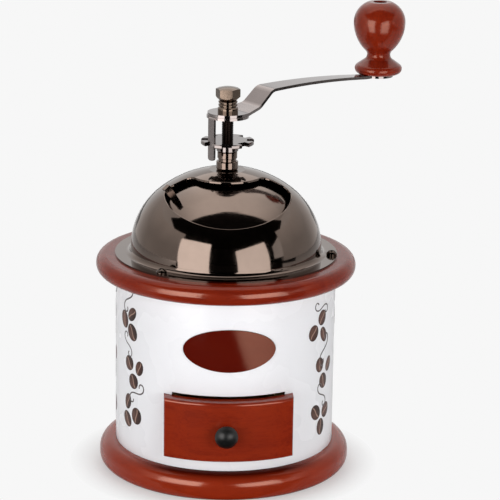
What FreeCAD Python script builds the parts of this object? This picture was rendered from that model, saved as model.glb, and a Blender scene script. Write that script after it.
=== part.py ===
import FreeCAD, Part
import math
import os

# A hand-cranked table coffee mill, in millimetres.
# +Z is up, the drawer faces -Y, and the origin is the centre of the base's underside.

V = FreeCAD.Vector

# Turned wood: base disc and top ring
base_overhang = 8.0            # base edge beyond the drum
base_thickness = 13.5
base_edge_radius = 5.0
base_shoulder_radius = 6.6     # rounding of the base's upper edge
ring_overhang = 9.8            # ring edge beyond the drum
ring_thickness = 9.5
ring_edge_radius = 4.6
groove_depth = 2.0             # drum ends sunk in base and ring
groove_clearance = 0.1

# White drum
drum_diameter = 109.0
drum_height = 89.2
drum_wall = 7.0

# Oval plaque let into the drum
plaque_width = 44.4
plaque_height = 21.2
plaque_center_height = 74.3
plaque_thickness = 1.2
plaque_proud = 0.5
plaque_clearance = 0.1

# Drawer opening in the drum and the drawer
opening_width = 54.8
opening_bottom = 22.4          # height above the underside
opening_height = 29.1
drawer_side_clearance = 0.4
rail_rise = 0.2                # rails above the sill of the opening
drawer_lift = 0.2              # drawer above its rails
drawer_board = 4.0             # thickness of sides and back
drawer_box_height = 24.0
drawer_past_rails = 0.65       # back of the drawer behind the ends of its rails
drawer_block_depth = 10.8      # block behind the curved front
drawer_floor_thickness = 2.5
drawer_floor_lift = 2.0
floor_groove_depth = 2.0
front_width = 62.4
front_overlap_below = 2.0      # front below the opening
front_height = 29.8
front_thickness = 6.7
front_clearance = 0.3
front_edge_radius = 1.2
knob_diameter = 11.2
knob_stem_diameter = 6.0
knob_stem_length = 2.4
knob_length = 9.6
knob_shoulder_reach = 0.84     # share of the knob's radius at its shoulder
knob_shoulder_rise = 0.4       # share of the way from stem to widest point
knob_offset = -1.6             # from the middle of the front, to the right

# Drawer rails
rail_foot_width = 12.4
rail_cheek = 5.0
rail_cheek_height = 14.0
rail_end_clearance = 1.0

# Pressed sheet: hopper dome, funnel and shutter
sheet = 0.8
dome_diameter = 94.4
dome_height = 42.4             # flange top to the apex of the crown arc
dome_blend_angle = 51.6        # degrees up the side arc where the crown arc begins
dome_fillet = 2.5
flange_width = 7.8
crown_flat_diameter = 18.0
window_radius = 30.7           # round outer edge of the window, in plan
window_offset = 10.2           # its centre ahead of the axis
window_inner_radius = 18.0     # inner edge about the axis
window_back = 5.5              # straight rear edge ahead of the axis
window_corner_radius = 5.0
window_edge_round = 0.42       # share of the sheet
shutter_gap = 2.2              # between dome and shutter
shutter_overlap = 4.0          # shutter past the window's lower edge
shutter_half_angle = 84.0
shutter_eye_radius = 9.5
tab_radius = 30.0              # finger tab from the axis
tab_azimuth = 58.0             # degrees to the left of the front
tab_width = 3.4
tab_height = 9.0
tab_thickness = 1.0
tab_lip = 2.0
funnel_depth = 14.2
funnel_rim_clearance = 0.1
funnel_wall_clearance = 0.5
funnel_floor_width = 6.5

# Dome bush and the clip under the shutter
bush_shank_diameter = 8.2
bush_collar_diameter = 10.8
bush_collar_height = 4.3
bush_collar_foot = 9.2         # diameter where the collar meets the crown
bush_collar_round = 1.2        # height of the collar's round below
bush_bevel = 0.3
bush_neck_diameter = 8.8
bush_neck_height = 1.3
bush_top_diameter = 9.8
bush_top_height = 3.5
bush_tail = 1.2
clip_diameter = 16.0
clip_thickness = 1.0
clip_groove_depth = 0.5
clip_slot = 5.0
shutter_rest_gap = 0.1

# Running parts on the spindle
running_clearance = 0.06
thrust_clearance = 0.05
spindle_diameter = 5.5
spindle_tip_diameter = 4.8
spindle_tip_flats = 3.8
spindle_square = 3.8
spindle_tail_diameter = 3.6
drive_clearance = 0.05
wheel_diameter = 26.4
wheel_thickness = 2.0
wheel_chamfer = 0.4
wheel_hub_diameter = 10.8
wheel_hub_height = 3.7
wheel_notches = 8
wheel_notch_floor = 9.5        # radius of the notch bottoms
notch_clearance = 0.4
thread_exposed = 11.3          # spindle seen between wheel and lock plate
plate_diameter = 20.8
plate_thickness = 1.2
leg_width = 4.2
leg_length = 20.2
leg_end_radius = 1.5
leg_azimuth = 221.0
leg_reach = 11.1               # outer face of the leg from the axis

# Crank
arm_thickness = 1.45
arm_eye_radius = 10.0
arm_neck_radius = 6.85         # half width of the strap at its first bend
arm_tip_radius = 2.9           # half width of the strap at the grip
arm_end_radius = 7.6           # round end under the grip
arm_reach = 96.4
arm_lift_start = 5.8           # end of the flat seat under the cap nut
arm_lift = 2.1
arm_first_bend = 14.5
arm_second_bend = 22.8
arm_rise = 9.7
arm_arch = 1.9                 # the outer half arches over the straight line by half of this
arm_arch_share = 0.85          # share of the outer half that is curved
arm_drop = 1.27                # from the second bend to the grip's seat
arm_grip_seat = 10.5           # half length of the flat under the grip
arm_bend = 4.5                 # inner bend radii
arm_seat_bend = 20.0
arm_azimuth = 35.0
collar_diameter = 9.0
collar_height = 5.5
collar_skirt_diameter = 10.0
collar_skirt_height = 2.4
collar_rib_depth = 0.6
collar_ribs = 2
collar_rib_bulge = 0.2
collar_groove = 0.35           # share of a rib's pitch
cap_across_flats = 10.6
cap_height = 7.0
cap_crown = 1.2
cap_wall = 2.4                 # metal over the blind bore
cap_turn = -12.0               # degrees

# Grip
grip_height = 36.6
grip_foot_radius = 12.0
grip_waist_radius = 5.9
grip_belly_radius = 13.1
grip_top_radius = 5.9
grip_foot_flat = 0.86          # shares of the foot's radius: flat underside and top of the foot
grip_foot_top = 0.91
grip_flank = 1.25              # shares of the waist's radius: below and above the waist
grip_neck = 1.17
grip_levels = (0.055, 0.126, 0.194, 0.262, 0.322, 0.716)    # shares of the height, from the foot up
grip_recess_depth = 2.6
grip_end_play = 0.2
stud_diameter = 5.0
stud_head_diameter = 6.8
stud_head_height = 1.8
stud_rivet_diameter = 8.0
stud_rivet_height = 1.4
washer_diameter = 11.0
washer_thickness = 0.6
washer_room = 0.3              # round the washer in the grip's underside

# Bearing bridge across the hopper
bridge_width = 10.0
bridge_thickness = 2.5
bridge_end_clearance = 0.9
bridge_hub_diameter = 14.0
bridge_hub_height = 8.0
bridge_bush_diameter = 10.0
bridge_bush_length = 10.0
bridge_bush_above = 0.5        # share of the bush's overhang above the bridge
bridge_screw_inset = 3.2
bridge_land = 4.5              # wood between bridge screw and ring bore

# Burrs
burr_height = 24.0
burr_body_diameter = 48.0
burr_flange_thickness = 3.0
burr_mouth_diameter = 43.0
burr_throat_diameter = 32.6
burr_outlet_diameter = 37.8
burr_band_height = 10.0        # grinding band below the throat
burr_gap = 0.7                 # radial, between the two grinding bands
burr_top_diameter = 17.0       # small end of the inner cone
burr_top_drop = 1.0            # inner cone's top below the outer burr's rim
burr_skirt = 2.5               # inner burr below the outer one
fine_teeth = 20
fine_tooth_depth = 1.2
fine_tooth_width = 0.9         # share of the pitch
breaker_teeth = 6
breaker_depth = 3.0
fine_skew = 14.0               # degrees of turn along the band
breaker_skew = 46.0
mouth_teeth = 8
mouth_tooth_depth = 1.6
burr_washer_diameter = 12.0
burr_nut_flats = 8.0
burr_nut_height = 4.2
spring_wire = 1.2
spring_mean_diameter = 9.2
spring_end_gap = 0.6           # between the closed end turns
spring_free_turns = 2.0
spring_end_play = 0.1
spring_washer_diameter = 12.0

# Fasteners: shank diameter, head diameter, head height
screw_clearance = 0.05
pan_rim = 0.4                  # upright part of a pan head, as a share of its height
recess_reach = 0.6             # cross recess over its arms, as a share of the head
recess_slot = 0.15             # width of an arm, as a share of the head
recess_depth = 0.6             # share of the head's height
flange_screw_shank = 2.6
flange_screw_head = 5.2
flange_screw_head_height = 2.6
flange_screw_grip = 6.5        # length in the ring
flange_screw_azimuth = -8.5
wood_screw_shank = 3.4
wood_screw_head = 6.6
wood_screw_head_height = 2.2
wood_screw_recess = 0.8
base_screw_length = 24.0
ring_screw_length = 20.0
rail_screw_length = 19.0
rail_screw_inset = 12.0
small_screw_shank = 2.4
small_screw_head = 4.4
small_screw_head_height = 1.6
bridge_screw_length = 7.5
burr_screw_length = 3.2
pull_screw_hold = 4.5          # length in the knob

# Levels worked out from the base upwards
drum_radius = drum_diameter / 2
drum_inner = drum_radius - drum_wall
base_radius = drum_radius + base_overhang
ring_radius = drum_radius + ring_overhang
z_base_top = base_thickness
z_drum_bottom = z_base_top - groove_depth
z_drum_top = z_drum_bottom + drum_height
z_ring_bottom = z_drum_top - groove_depth
z_ring_top = z_ring_bottom + ring_thickness
z_flange_top = z_ring_top + sheet
z_dome_foot = z_flange_top + dome_fillet
z_apex = z_flange_top + dome_height

# Dome section: a crown arc on the axis, tangent to a side arc that ends upright
dome_radius = dome_diameter / 2
dome_rise = z_apex - z_dome_foot
blend_angle = math.radians(dome_blend_angle)
blend_share = (1 - math.sin(blend_angle)) / math.cos(blend_angle)
dome_side_radius = (dome_rise - dome_radius * blend_share) / (1 - blend_share)
side_center = dome_radius - dome_side_radius
crown_radius = dome_side_radius + side_center / math.cos(blend_angle)
z_crown_center = z_apex - crown_radius
z_crown = z_crown_center + math.sqrt(crown_radius ** 2 - (crown_flat_diameter / 2) ** 2)
flange_radius = dome_radius + flange_width
screw_circle = (dome_radius + dome_fillet + flange_radius) / 2

# Levels of the spindle stack
z_bush_top = z_crown + bush_collar_height + bush_neck_height + bush_top_height
z_hub_bottom = z_bush_top + thrust_clearance
z_wheel_bottom = z_hub_bottom + wheel_hub_height
z_wheel_top = z_wheel_bottom + wheel_thickness
z_plate_bottom = z_wheel_top + thread_exposed
z_eye_bottom = z_plate_bottom + plate_thickness
z_eye_top = z_eye_bottom + arm_thickness
z_cap_bottom = z_eye_top + collar_height
z_cap_top = z_cap_bottom + cap_height
z_arm_top = z_eye_top + arm_rise - arm_drop
z_grip_bottom = z_arm_top + grip_end_play

# Levels below the hopper
z_bridge_top = z_ring_top + bridge_thickness
z_bridge_bush_top = z_bridge_top + (bridge_bush_length - bridge_thickness) * bridge_bush_above
z_bridge_bush_bottom = z_bridge_bush_top - bridge_bush_length
z_funnel_floor = z_ring_top - funnel_depth
z_burr_top = z_funnel_floor - sheet
z_burr_bottom = z_burr_top - burr_height
z_throat = z_burr_bottom + burr_band_height
z_inner_top = z_burr_top - burr_top_drop
z_inner_bottom = z_burr_bottom - burr_skirt
z_burr_washer = z_inner_bottom - sheet
z_burr_nut = z_burr_washer - burr_nut_height
z_spring_bottom = z_inner_top + sheet
z_spindle_tail = z_burr_nut - spindle_tail_diameter / 4

# Drawer sizes
rail_top = opening_bottom + rail_rise
box_bottom = rail_top + drawer_lift
box_top = box_bottom + drawer_box_height
box_half = opening_width / 2 - drawer_side_clearance
front_inner = drum_radius + front_clearance
front_outer = front_inner + front_thickness
drawer_block_back = front_inner - drawer_block_depth
pull_screw_length = drawer_block_depth + front_thickness + pull_screw_hold
front_bottom = opening_bottom - front_overlap_below
front_top = front_bottom + front_height
knob_height = (front_bottom + front_top) / 2
floor_bottom = box_bottom + drawer_floor_lift
floor_top = floor_bottom + drawer_floor_thickness
rail_inner = opening_width / 2
rail_outer = rail_inner + rail_cheek
rail_half_length = math.sqrt((drum_inner - rail_end_clearance) ** 2 - rail_outer ** 2)
drawer_box_back = rail_half_length + drawer_past_rails

# Bridge and bore sizes that follow the dome
bridge_half = dome_radius - sheet - bridge_end_clearance
bridge_screw_radius = bridge_half - bridge_screw_inset
ring_bore = bridge_screw_radius - bridge_land
funnel_rim = screw_circle - flange_screw_shank / 2 - 2 * screw_clearance - 2 * funnel_rim_clearance
funnel_top = ring_bore - funnel_wall_clearance
funnel_floor_outer = burr_mouth_diameter / 2 + funnel_floor_width
burr_screw_radius = burr_mouth_diameter / 2 + funnel_floor_width / 2
wall_screw_radius = drum_radius - drum_wall / 2

os.makedirs("parts", exist_ok=True)


def box(x0, x1, y0, y1, z0, z1):
    return Part.makeBox(x1 - x0, y1 - y0, z1 - z0, V(x0, y0, z0))


def cylinder(radius, z0, z1):
    return Part.makeCylinder(radius, z1 - z0, V(0, 0, z0))


def tube(outer, inner, z0, z1):
    return cylinder(outer, z0, z1).cut(cylinder(inner, z0 - 1, z1 + 1))


def section(*steps):
    """Closed face in the XZ plane: a step is (r, z), or ((r, z), (r, z)) for an arc through a point."""
    edges = []
    last = None
    ends = []
    for step in steps:
        through = step[0] if isinstance(step[0], tuple) else None
        end = step[1] if through else step
        point = V(end[0], 0, end[1])
        if last is not None:
            if through:
                edges.append(Part.Arc(last, V(through[0], 0, through[1]), point).toShape())
            else:
                edges.append(Part.LineSegment(last, point).toShape())
        ends.append(point)
        last = point
    edges.append(Part.LineSegment(last, ends[0]).toShape())
    return Part.Face(Part.Wire(edges))


def rounded_corner(before, corner, after, radius):
    """Start, middle and end of the arc that rounds a corner."""
    into = (corner - before).normalize()
    out = (after - corner).normalize()
    half = into.getAngle(out) / 2
    reach = radius * math.tan(half)
    middle = corner + (out - into).normalize() * (radius / math.cos(half) - radius)
    return [(p.x, p.z) for p in (corner - into * reach, middle, corner + out * reach)]


def bent_strip(line, bends, thickness):
    """Face in the XZ plane: a strip under a line of points, with an inner radius for every bend."""
    top = [V(x, 0, z) for x, z in line]
    ways = [(b - a).normalize() for a, b in zip(top, top[1:])]
    ups = [V(-w.z, 0, w.x) for w in ways]
    under = [p - (u + v) * (thickness / (1 + u.dot(v)))
             for p, u, v in zip(top, ups[:1] + ups, ups + ups[-1:])]
    upper_side = [line[0]]
    lower_side = [(under[0].x, under[0].z)]
    for i, bend in enumerate(bends, 1):
        inside_above = ways[i].z > ways[i - 1].z
        start, middle, end = rounded_corner(*top[i - 1:i + 2], bend if inside_above else bend + thickness)
        upper_side += [start, (middle, end)]
        start, middle, end = rounded_corner(*under[i - 1:i + 2], bend + thickness if inside_above else bend)
        lower_side = [end, (middle, start)] + lower_side
    return section(*upper_side, line[-1], (under[-1].x, under[-1].z), *lower_side)


def turned(*steps):
    return section(*steps).revolve(V(0, 0, 0), V(0, 0, 1), 360)


def turn(shape, degrees):
    return shape.copy().rotate(V(0, 0, 0), V(0, 0, 1), degrees)


def moved(shape, x, y, z):
    copy = shape.copy()
    copy.translate(V(x, y, z))
    return copy


def around(shape, count, first=0.0):
    """Copies of a shape at equal steps about the axis, as separate solids."""
    return [turn(shape, first + 360.0 * i / count) for i in range(count)]


def join(*shapes):
    result = shapes[0].fuse(list(shapes[1:]))
    return result.removeSplitter()


def hexagon(across_flats, z0, z1):
    corner = across_flats / math.sqrt(3)
    points = [V(corner * math.cos(math.radians(60 * i)), corner * math.sin(math.radians(60 * i)), z0)
              for i in range(7)]
    return Part.Face(Part.makePolygon(points)).extrude(V(0, 0, z1 - z0))


def cross_recess(head_diameter, z_top, depth):
    """Two crossed slots sunk from the top of a screw head."""
    reach = head_diameter * recess_reach / 2
    slot = head_diameter * recess_slot / 2
    return [box(-x, x, -y, y, z_top - depth, z_top + depth) for x, y in ((reach, slot), (slot, reach))]


def countersunk_screw(length, grow=0.0):
    """Wood screw pointing down from its flat head at z = 0."""
    shank = wood_screw_shank / 2 + grow
    head = wood_screw_head / 2 + grow
    tip = -length - grow
    screw = turned((0, 0), (head, 0), (shank, -wood_screw_head_height - grow), (shank, tip + shank), (0, tip))
    if grow:
        return screw
    return screw.cut(cross_recess(wood_screw_head, 0, wood_screw_head_height * recess_depth))


def cap_middle(radius, z_rim, z_top):
    """Middle of a round cap's section, whose arc is centred on the axis."""
    rise = z_top - z_rim
    ball = (radius ** 2 + rise ** 2) / (2 * rise)
    half = math.atan2(radius, abs(ball) - abs(rise)) / 2
    return (abs(ball) * math.sin(half), z_top - ball + ball * math.cos(half))


def pan_screw(shank_diameter, head_diameter, head_height, length, grow=0.0):
    """Screw with a domed head standing on z = 0 and its shank below."""
    shank = shank_diameter / 2 + grow
    head = head_diameter / 2 + grow
    rim = head_height * pan_rim
    screw = turned((0, -length - grow), (shank, -length - grow), (shank, 0), (head, 0), (head, rim),
                   (cap_middle(head, rim, head_height), (0, head_height)))
    if grow:
        return screw
    return screw.cut(cross_recess(head_diameter, head_height, head_height * recess_depth))


def export(name, shape):
    shape.exportStep("parts/" + name + ".step")


# Wall and rail screws, shared by the pieces they join
def base_screw_places():
    return [(wall_screw_radius * math.cos(math.radians(a)), wall_screw_radius * math.sin(math.radians(a)))
            for a in (90, 210, 330)]


def rail_screw_places():
    x = (rail_inner + rail_outer) / 2
    y = rail_half_length - rail_screw_inset
    return [(sx * x, sy * y) for sx in (-1, 1) for sy in (-1, 1)]


def ring_screw_places():
    return [(wall_screw_radius * math.cos(math.radians(a)), wall_screw_radius * math.sin(math.radians(a)))
            for a in (flange_screw_azimuth + 60 + 120 * i for i in range(3))]


def upward(screw, x, y):
    return moved(screw.copy().rotate(V(0, 0, 0), V(1, 0, 0), 180), x, y, wood_screw_recess)


def base_screws(grow=0.0):
    return [upward(countersunk_screw(base_screw_length, grow), x, y) for x, y in base_screw_places()]


def rail_screws(grow=0.0):
    return [upward(countersunk_screw(rail_screw_length, grow), x, y) for x, y in rail_screw_places()]


def ring_screws(grow=0.0):
    level = z_ring_top - wood_screw_recess - sheet
    return [moved(countersunk_screw(ring_screw_length, grow), x, y, level) for x, y in ring_screw_places()]


def flange_screws(grow=0.0):
    screw = pan_screw(flange_screw_shank, flange_screw_head, flange_screw_head_height,
                      flange_screw_grip + sheet, grow)
    return around(moved(screw, screw_circle, 0, z_flange_top), 3, flange_screw_azimuth)


def bridge_screws(grow=0.0):
    screw = pan_screw(small_screw_shank, small_screw_head, small_screw_head_height,
                      bridge_screw_length, grow)
    return around(moved(screw, bridge_screw_radius, 0, z_bridge_top), 2)


def burr_screws(grow=0.0):
    screw = pan_screw(small_screw_shank, small_screw_head, small_screw_head_height,
                      burr_screw_length, grow)
    return around(moved(screw, burr_screw_radius, 0, z_funnel_floor), 3, 90)


# Base disc with a groove for the drum and sunk screw holes
def make_base():
    e = base_edge_radius
    k = e * (1 - math.sqrt(0.5))
    s = base_shoulder_radius
    m = s * (1 - math.sqrt(0.5))
    disc = turned((0, 0), (base_radius - e, 0), ((base_radius - k, k), (base_radius, e)),
                  (base_radius, z_base_top - s),
                  ((base_radius - m, z_base_top - m), (base_radius - s, z_base_top)), (0, z_base_top))
    groove = tube(drum_radius + groove_clearance, drum_inner - groove_clearance, z_drum_bottom, z_base_top + 1)
    wells = [moved(cylinder(wood_screw_head / 2 + screw_clearance, -1, wood_screw_recess), x, y, 0)
             for x, y in base_screw_places() + rail_screw_places()]
    return disc.cut([groove] + wells + base_screws(screw_clearance) + rail_screws(screw_clearance))


# Drum tube with the drawer opening and a pocket for the plaque
def plaque_prism(grow):
    ellipse = Part.Ellipse(V(0, 0, 0), plaque_width / 2 + grow, plaque_height / 2 + grow)
    face = Part.Face(Part.Wire([ellipse.toShape()]))
    prism = face.extrude(V(0, 0, drum_radius))
    prism.rotate(V(0, 0, 0), V(1, 0, 0), 90)
    return moved(prism, 0, -drum_radius / 3, plaque_center_height)


def plaque_floor():
    return drum_radius + plaque_proud - plaque_thickness


def make_drum():
    wall = tube(drum_radius, drum_inner, z_drum_bottom, z_drum_top)
    opening = box(-opening_width / 2, opening_width / 2, -base_radius, 0,
                  opening_bottom, opening_bottom + opening_height)
    pocket = plaque_prism(plaque_clearance).common(
        tube(base_radius, plaque_floor(), z_drum_bottom, z_drum_top))
    return wall.cut([opening, pocket] + base_screws(screw_clearance) + ring_screws(screw_clearance))


def make_plaque():
    skin = tube(drum_radius + plaque_proud, plaque_floor(), z_drum_bottom, z_drum_top)
    return plaque_prism(0.0).common(skin)


# Top ring with the groove for the drum below and a rebate for the funnel rim above
def make_ring():
    e = ring_edge_radius
    k = e * (1 - math.sqrt(0.5))
    ring = turned((ring_bore, z_ring_bottom), (ring_radius - e, z_ring_bottom),
                  ((ring_radius - k, z_ring_bottom + k), (ring_radius, z_ring_bottom + e)),
                  (ring_radius, z_ring_top - e),
                  ((ring_radius - k, z_ring_top - k), (ring_radius - e, z_ring_top)), (ring_bore, z_ring_top))
    groove = tube(drum_radius + groove_clearance, drum_inner - groove_clearance, z_ring_bottom - 1, z_drum_top)
    rebate = cylinder(funnel_rim + funnel_rim_clearance, z_ring_top - sheet, z_ring_top + 1)
    wells = [moved(cylinder(wood_screw_head / 2 + screw_clearance, z_ring_top - sheet - wood_screw_recess,
                            z_ring_top + 1), x, y, 0) for x, y in ring_screw_places()]
    holes = ring_screws(screw_clearance) + flange_screws(screw_clearance) + bridge_screws(screw_clearance)
    return ring.cut([groove, rebate] + wells + holes)


# Drawer rails: a foot under the drawer side and a cheek beside it
def make_rail(side):
    rail = join(box(rail_outer - rail_foot_width, rail_outer, -rail_half_length, rail_half_length,
                    z_base_top, rail_top),
                box(rail_inner, rail_outer, -rail_half_length, rail_half_length,
                    z_base_top, rail_top + rail_cheek_height))
    if side < 0:
        rail = turn(rail, 180)
    return rail.cut(rail_screws(screw_clearance))


# Drawer front: curved face over the drum, with a block that fills the opening
def make_drawer_front():
    shell = tube(front_outer, front_inner, front_bottom, front_top)
    face = shell.common(box(-front_width / 2, front_width / 2, -2 * front_outer, 0, front_bottom, front_top))
    rim = [e for e in face.Edges
           if all(math.hypot(v.X, v.Y) > front_outer - 0.01 for v in e.Vertexes)]
    face = face.makeFillet(front_edge_radius, rim)
    block = box(-box_half, box_half, -front_outer, -drawer_block_back, box_bottom, box_top)
    block = block.common(cylinder(front_inner + front_thickness / 2, front_bottom, front_top))
    front = join(face, block)
    return front.cut([drawer_floor_solid(), pull_screw(screw_clearance), knob_seat()])


def drawer_floor_solid():
    inner = box_half - drawer_board
    return box(-inner - floor_groove_depth, inner + floor_groove_depth,
               -drawer_block_back - floor_groove_depth, drawer_box_back - drawer_board + floor_groove_depth,
               floor_bottom, floor_top)


def make_drawer_side(side):
    board = box(box_half - drawer_board, box_half, -drawer_block_back, drawer_box_back, box_bottom, box_top)
    if side < 0:
        board = board.mirror(V(0, 0, 0), V(1, 0, 0))
    return board.cut(drawer_floor_solid())


def make_drawer_back():
    inner = box_half - drawer_board
    board = box(-inner, inner, drawer_box_back - drawer_board, drawer_box_back, box_bottom, box_top)
    return board.cut(drawer_floor_solid())


def facing_front(shape, depth):
    """Turn a piece made along +Z to point forwards, starting at a depth ahead of the axis."""
    return moved(shape.copy().rotate(V(0, 0, 0), V(1, 0, 0), 90), knob_offset, -depth, knob_height)


def pull_screw(grow=0.0):
    screw = pan_screw(flange_screw_shank, flange_screw_head, flange_screw_head_height,
                      pull_screw_length, grow)
    screw.rotate(V(0, 0, 0), V(1, 0, 0), 180)
    return facing_front(screw, drawer_block_back)


def knob_seat():
    """Tiny seat under the knob, so that its flat stem meets the curved front face to face."""
    return facing_front(cylinder(knob_stem_diameter / 2, 0, front_thickness), knob_seat_depth())


def knob_seat_depth():
    return math.sqrt(front_outer ** 2 - (knob_stem_diameter / 2 + abs(knob_offset)) ** 2)


def make_drawer_knob():
    stem = knob_stem_diameter / 2
    ball = knob_diameter / 2
    middle = (knob_stem_length + knob_length) / 2
    shoulder = knob_stem_length + (middle - knob_stem_length) * knob_shoulder_rise
    knob = turned((0, 0), (stem, 0), (stem, knob_stem_length),
                  ((ball * knob_shoulder_reach, shoulder), (ball, middle)),
                  (cap_middle(ball, middle, knob_length), (0, knob_length)))
    return facing_front(knob, knob_seat_depth()).cut(pull_screw(screw_clearance))


# Points on the dome and on the shells parallel to it
def flat_radius(depth):
    return math.sqrt((crown_radius - depth) ** 2 - (z_crown - depth - z_crown_center) ** 2)


def crown_point(angle, depth):
    reach = crown_radius - depth
    return (reach * math.cos(angle), z_crown_center + reach * math.sin(angle))


def side_point(angle, depth):
    reach = dome_side_radius - depth
    return (side_center + reach * math.cos(angle), z_dome_foot + reach * math.sin(angle))


def surface_angle(radius, depth):
    """Elevation of the shell's outward normal at a distance from the axis."""
    if radius < crown_point(blend_angle, depth)[0]:
        return math.acos(radius / (crown_radius - depth))
    return math.acos((radius - side_center) / (dome_side_radius - depth))


def level_at(radius, depth):
    """Height of the shell at a distance from the axis."""
    place = crown_point if radius < crown_point(blend_angle, depth)[0] else side_point
    return place(surface_angle(radius, depth), depth)[1]


def shell_arcs(depth, end_angle):
    """Steps from the edge of the crown flat outwards and down to an angle on the side arc."""
    start = math.asin((z_crown - depth - z_crown_center) / (crown_radius - depth))
    return [(flat_radius(depth), z_crown - depth),
            (crown_point((start + blend_angle) / 2, depth), crown_point(blend_angle, depth)),
            (side_point((blend_angle + end_angle) / 2, depth), side_point(end_angle, depth))]


def back_along(steps):
    """The same run of arcs in the opposite direction."""
    ends = [s[1] if isinstance(s[0], tuple) else s for s in steps]
    result = [ends[-1]]
    for i in range(len(steps) - 1, 0, -1):
        result.append((steps[i][0], ends[i - 1]))
    return result


# Hopper dome: flange, fillet, round wall, flat crown and a kidney-shaped window
def window_prism():
    low = z_dome_foot
    high = z_apex + 1
    disc = moved(cylinder(window_radius, low, high), 0, -window_offset, 0)
    half = box(-dome_radius, dome_radius, -dome_radius, -window_back, low, high)
    shape = disc.common(half).cut(cylinder(window_inner_radius, low, high))
    corners = [e for e in shape.Edges
               if abs(e.Vertexes[0].X - e.Vertexes[-1].X) < 1e-6 and abs(e.Length - (high - low)) < 1e-6]
    return shape.makeFillet(window_corner_radius, corners)


def make_dome():
    f = dome_fillet
    k = math.sqrt(0.5)
    toe = dome_radius + f
    outer = shell_arcs(0.0, 0.0)
    inner = back_along(shell_arcs(sheet, 0.0))
    bore = bush_shank_diameter / 2 + screw_clearance
    shell = turned((bore, z_crown), *outer,
                   ((toe - f * k, z_dome_foot - f * k), (toe, z_flange_top)),
                   (flange_radius, z_flange_top), (flange_radius, z_ring_top), (toe, z_ring_top),
                   ((toe - (f + sheet) * k, z_dome_foot - (f + sheet) * k), inner[0]),
                   *inner[1:], (bore, z_crown - sheet))
    dome = shell.cut([window_prism()] + flange_screws(screw_clearance))
    return dome.makeFillet(sheet * window_edge_round, window_edges(dome))


def window_edges(dome):
    """Edges of the window in the dome's outer surface."""
    walls = window_prism().Shells[0]
    edges = []
    for edge in dome.Edges:
        middle = edge.valueAt((edge.FirstParameter + edge.LastParameter) / 2)
        radius = math.hypot(middle.x, middle.y)
        if radius < dome_radius and walls.distToShape(Part.Vertex(middle))[0] < 1e-3:
            if abs(middle.z - level_at(radius, 0.0)) < 1e-3:
                edges.append(edge)
    return edges


# Shutter: a fan of the same curve under the window, turning on the dome bush
def make_shutter():
    top = sheet + shutter_gap
    low = surface_angle(window_offset + window_radius, 0.0) - shutter_overlap / dome_side_radius
    outer = shell_arcs(top, low)
    inner = back_along(shell_arcs(top + sheet, low))
    bore = bush_shank_diameter / 2 + running_clearance
    fan = section((bore, z_crown - top), *outer, *inner, (bore, z_crown - top - sheet))
    fan = turn(fan, -90 - shutter_half_angle).revolve(V(0, 0, 0), V(0, 0, 1), 2 * shutter_half_angle)
    eye = tube(shutter_eye_radius, bore, z_crown - top - sheet, z_crown - top)
    return join(fan, eye, shutter_tab(top))


def shutter_tab(depth):
    """Finger tab bent up square to the shutter, with a short lip at its end."""
    angle = surface_angle(tab_radius, depth)
    half = tab_thickness / 2
    blade = box(-sheet / 2, tab_height, -half, half, -tab_width / 2, tab_width / 2)
    lip = box(tab_height - tab_thickness, tab_height, -tab_lip, half, -tab_width / 2, tab_width / 2)
    tab = join(blade, lip)
    tab.rotate(V(0, 0, 0), V(0, 1, 0), -math.degrees(angle))
    return turn(moved(tab, tab_radius, 0, level_at(tab_radius, depth)), -90 - tab_azimuth)


# Dome bush, with a groove for the clip that carries the shutter
def clip_top():
    return z_crown - 2 * sheet - shutter_gap - shutter_rest_gap


def make_dome_bush():
    bore = spindle_diameter / 2 + running_clearance
    shank = bush_shank_diameter / 2
    collar = bush_collar_diameter / 2
    neck = bush_neck_diameter / 2
    top = bush_top_diameter / 2
    groove = shank - clip_groove_depth
    z_collar = z_crown + bush_collar_height
    z_neck = z_collar + bush_neck_height
    tail = clip_top() - clip_thickness - bush_tail
    bevel = bush_bevel
    foot = bush_collar_foot / 2
    swell = foot + (collar - foot) * math.sqrt(0.5)
    rise = bush_collar_round * (1 - math.sqrt(0.5))
    return turned((bore, tail), (shank, tail), (shank, clip_top() - clip_thickness),
                  (groove, clip_top() - clip_thickness), (groove, clip_top()), (shank, clip_top()),
                  (shank, z_crown), (foot, z_crown),
                  ((swell, z_crown + rise), (collar, z_crown + bush_collar_round)),
                  (collar, z_collar - bevel), (collar - bevel, z_collar), (neck, z_collar), (neck, z_neck),
                  (top - bevel, z_neck), (top, z_neck + bevel), (top, z_bush_top - bevel),
                  (top - bevel, z_bush_top), (bore, z_bush_top))


def make_shutter_clip():
    ring = tube(clip_diameter / 2, bush_shank_diameter / 2 - clip_groove_depth,
                clip_top() - clip_thickness, clip_top())
    slot = box(-clip_slot / 2, clip_slot / 2, 0, clip_diameter, clip_top() - 2 * clip_thickness, clip_top() + 1)
    return ring.cut(slot)


# Funnel: rim in the ring's rebate, steep wall and a floor that carries the outer burr
def make_funnel():
    mouth = burr_mouth_diameter / 2
    slope = math.hypot(funnel_top - funnel_floor_outer, funnel_depth)
    lean = sheet * slope / funnel_depth
    funnel = turned((funnel_top - lean, z_ring_top), (funnel_rim, z_ring_top), (funnel_rim, z_ring_top - sheet),
                    (funnel_top, z_ring_top - sheet), (funnel_floor_outer, z_burr_top),
                    (mouth, z_burr_top), (mouth, z_funnel_floor),
                    (funnel_floor_outer - lean, z_funnel_floor))
    return funnel.cut(bridge_screws(screw_clearance) + burr_screws(screw_clearance))


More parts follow.
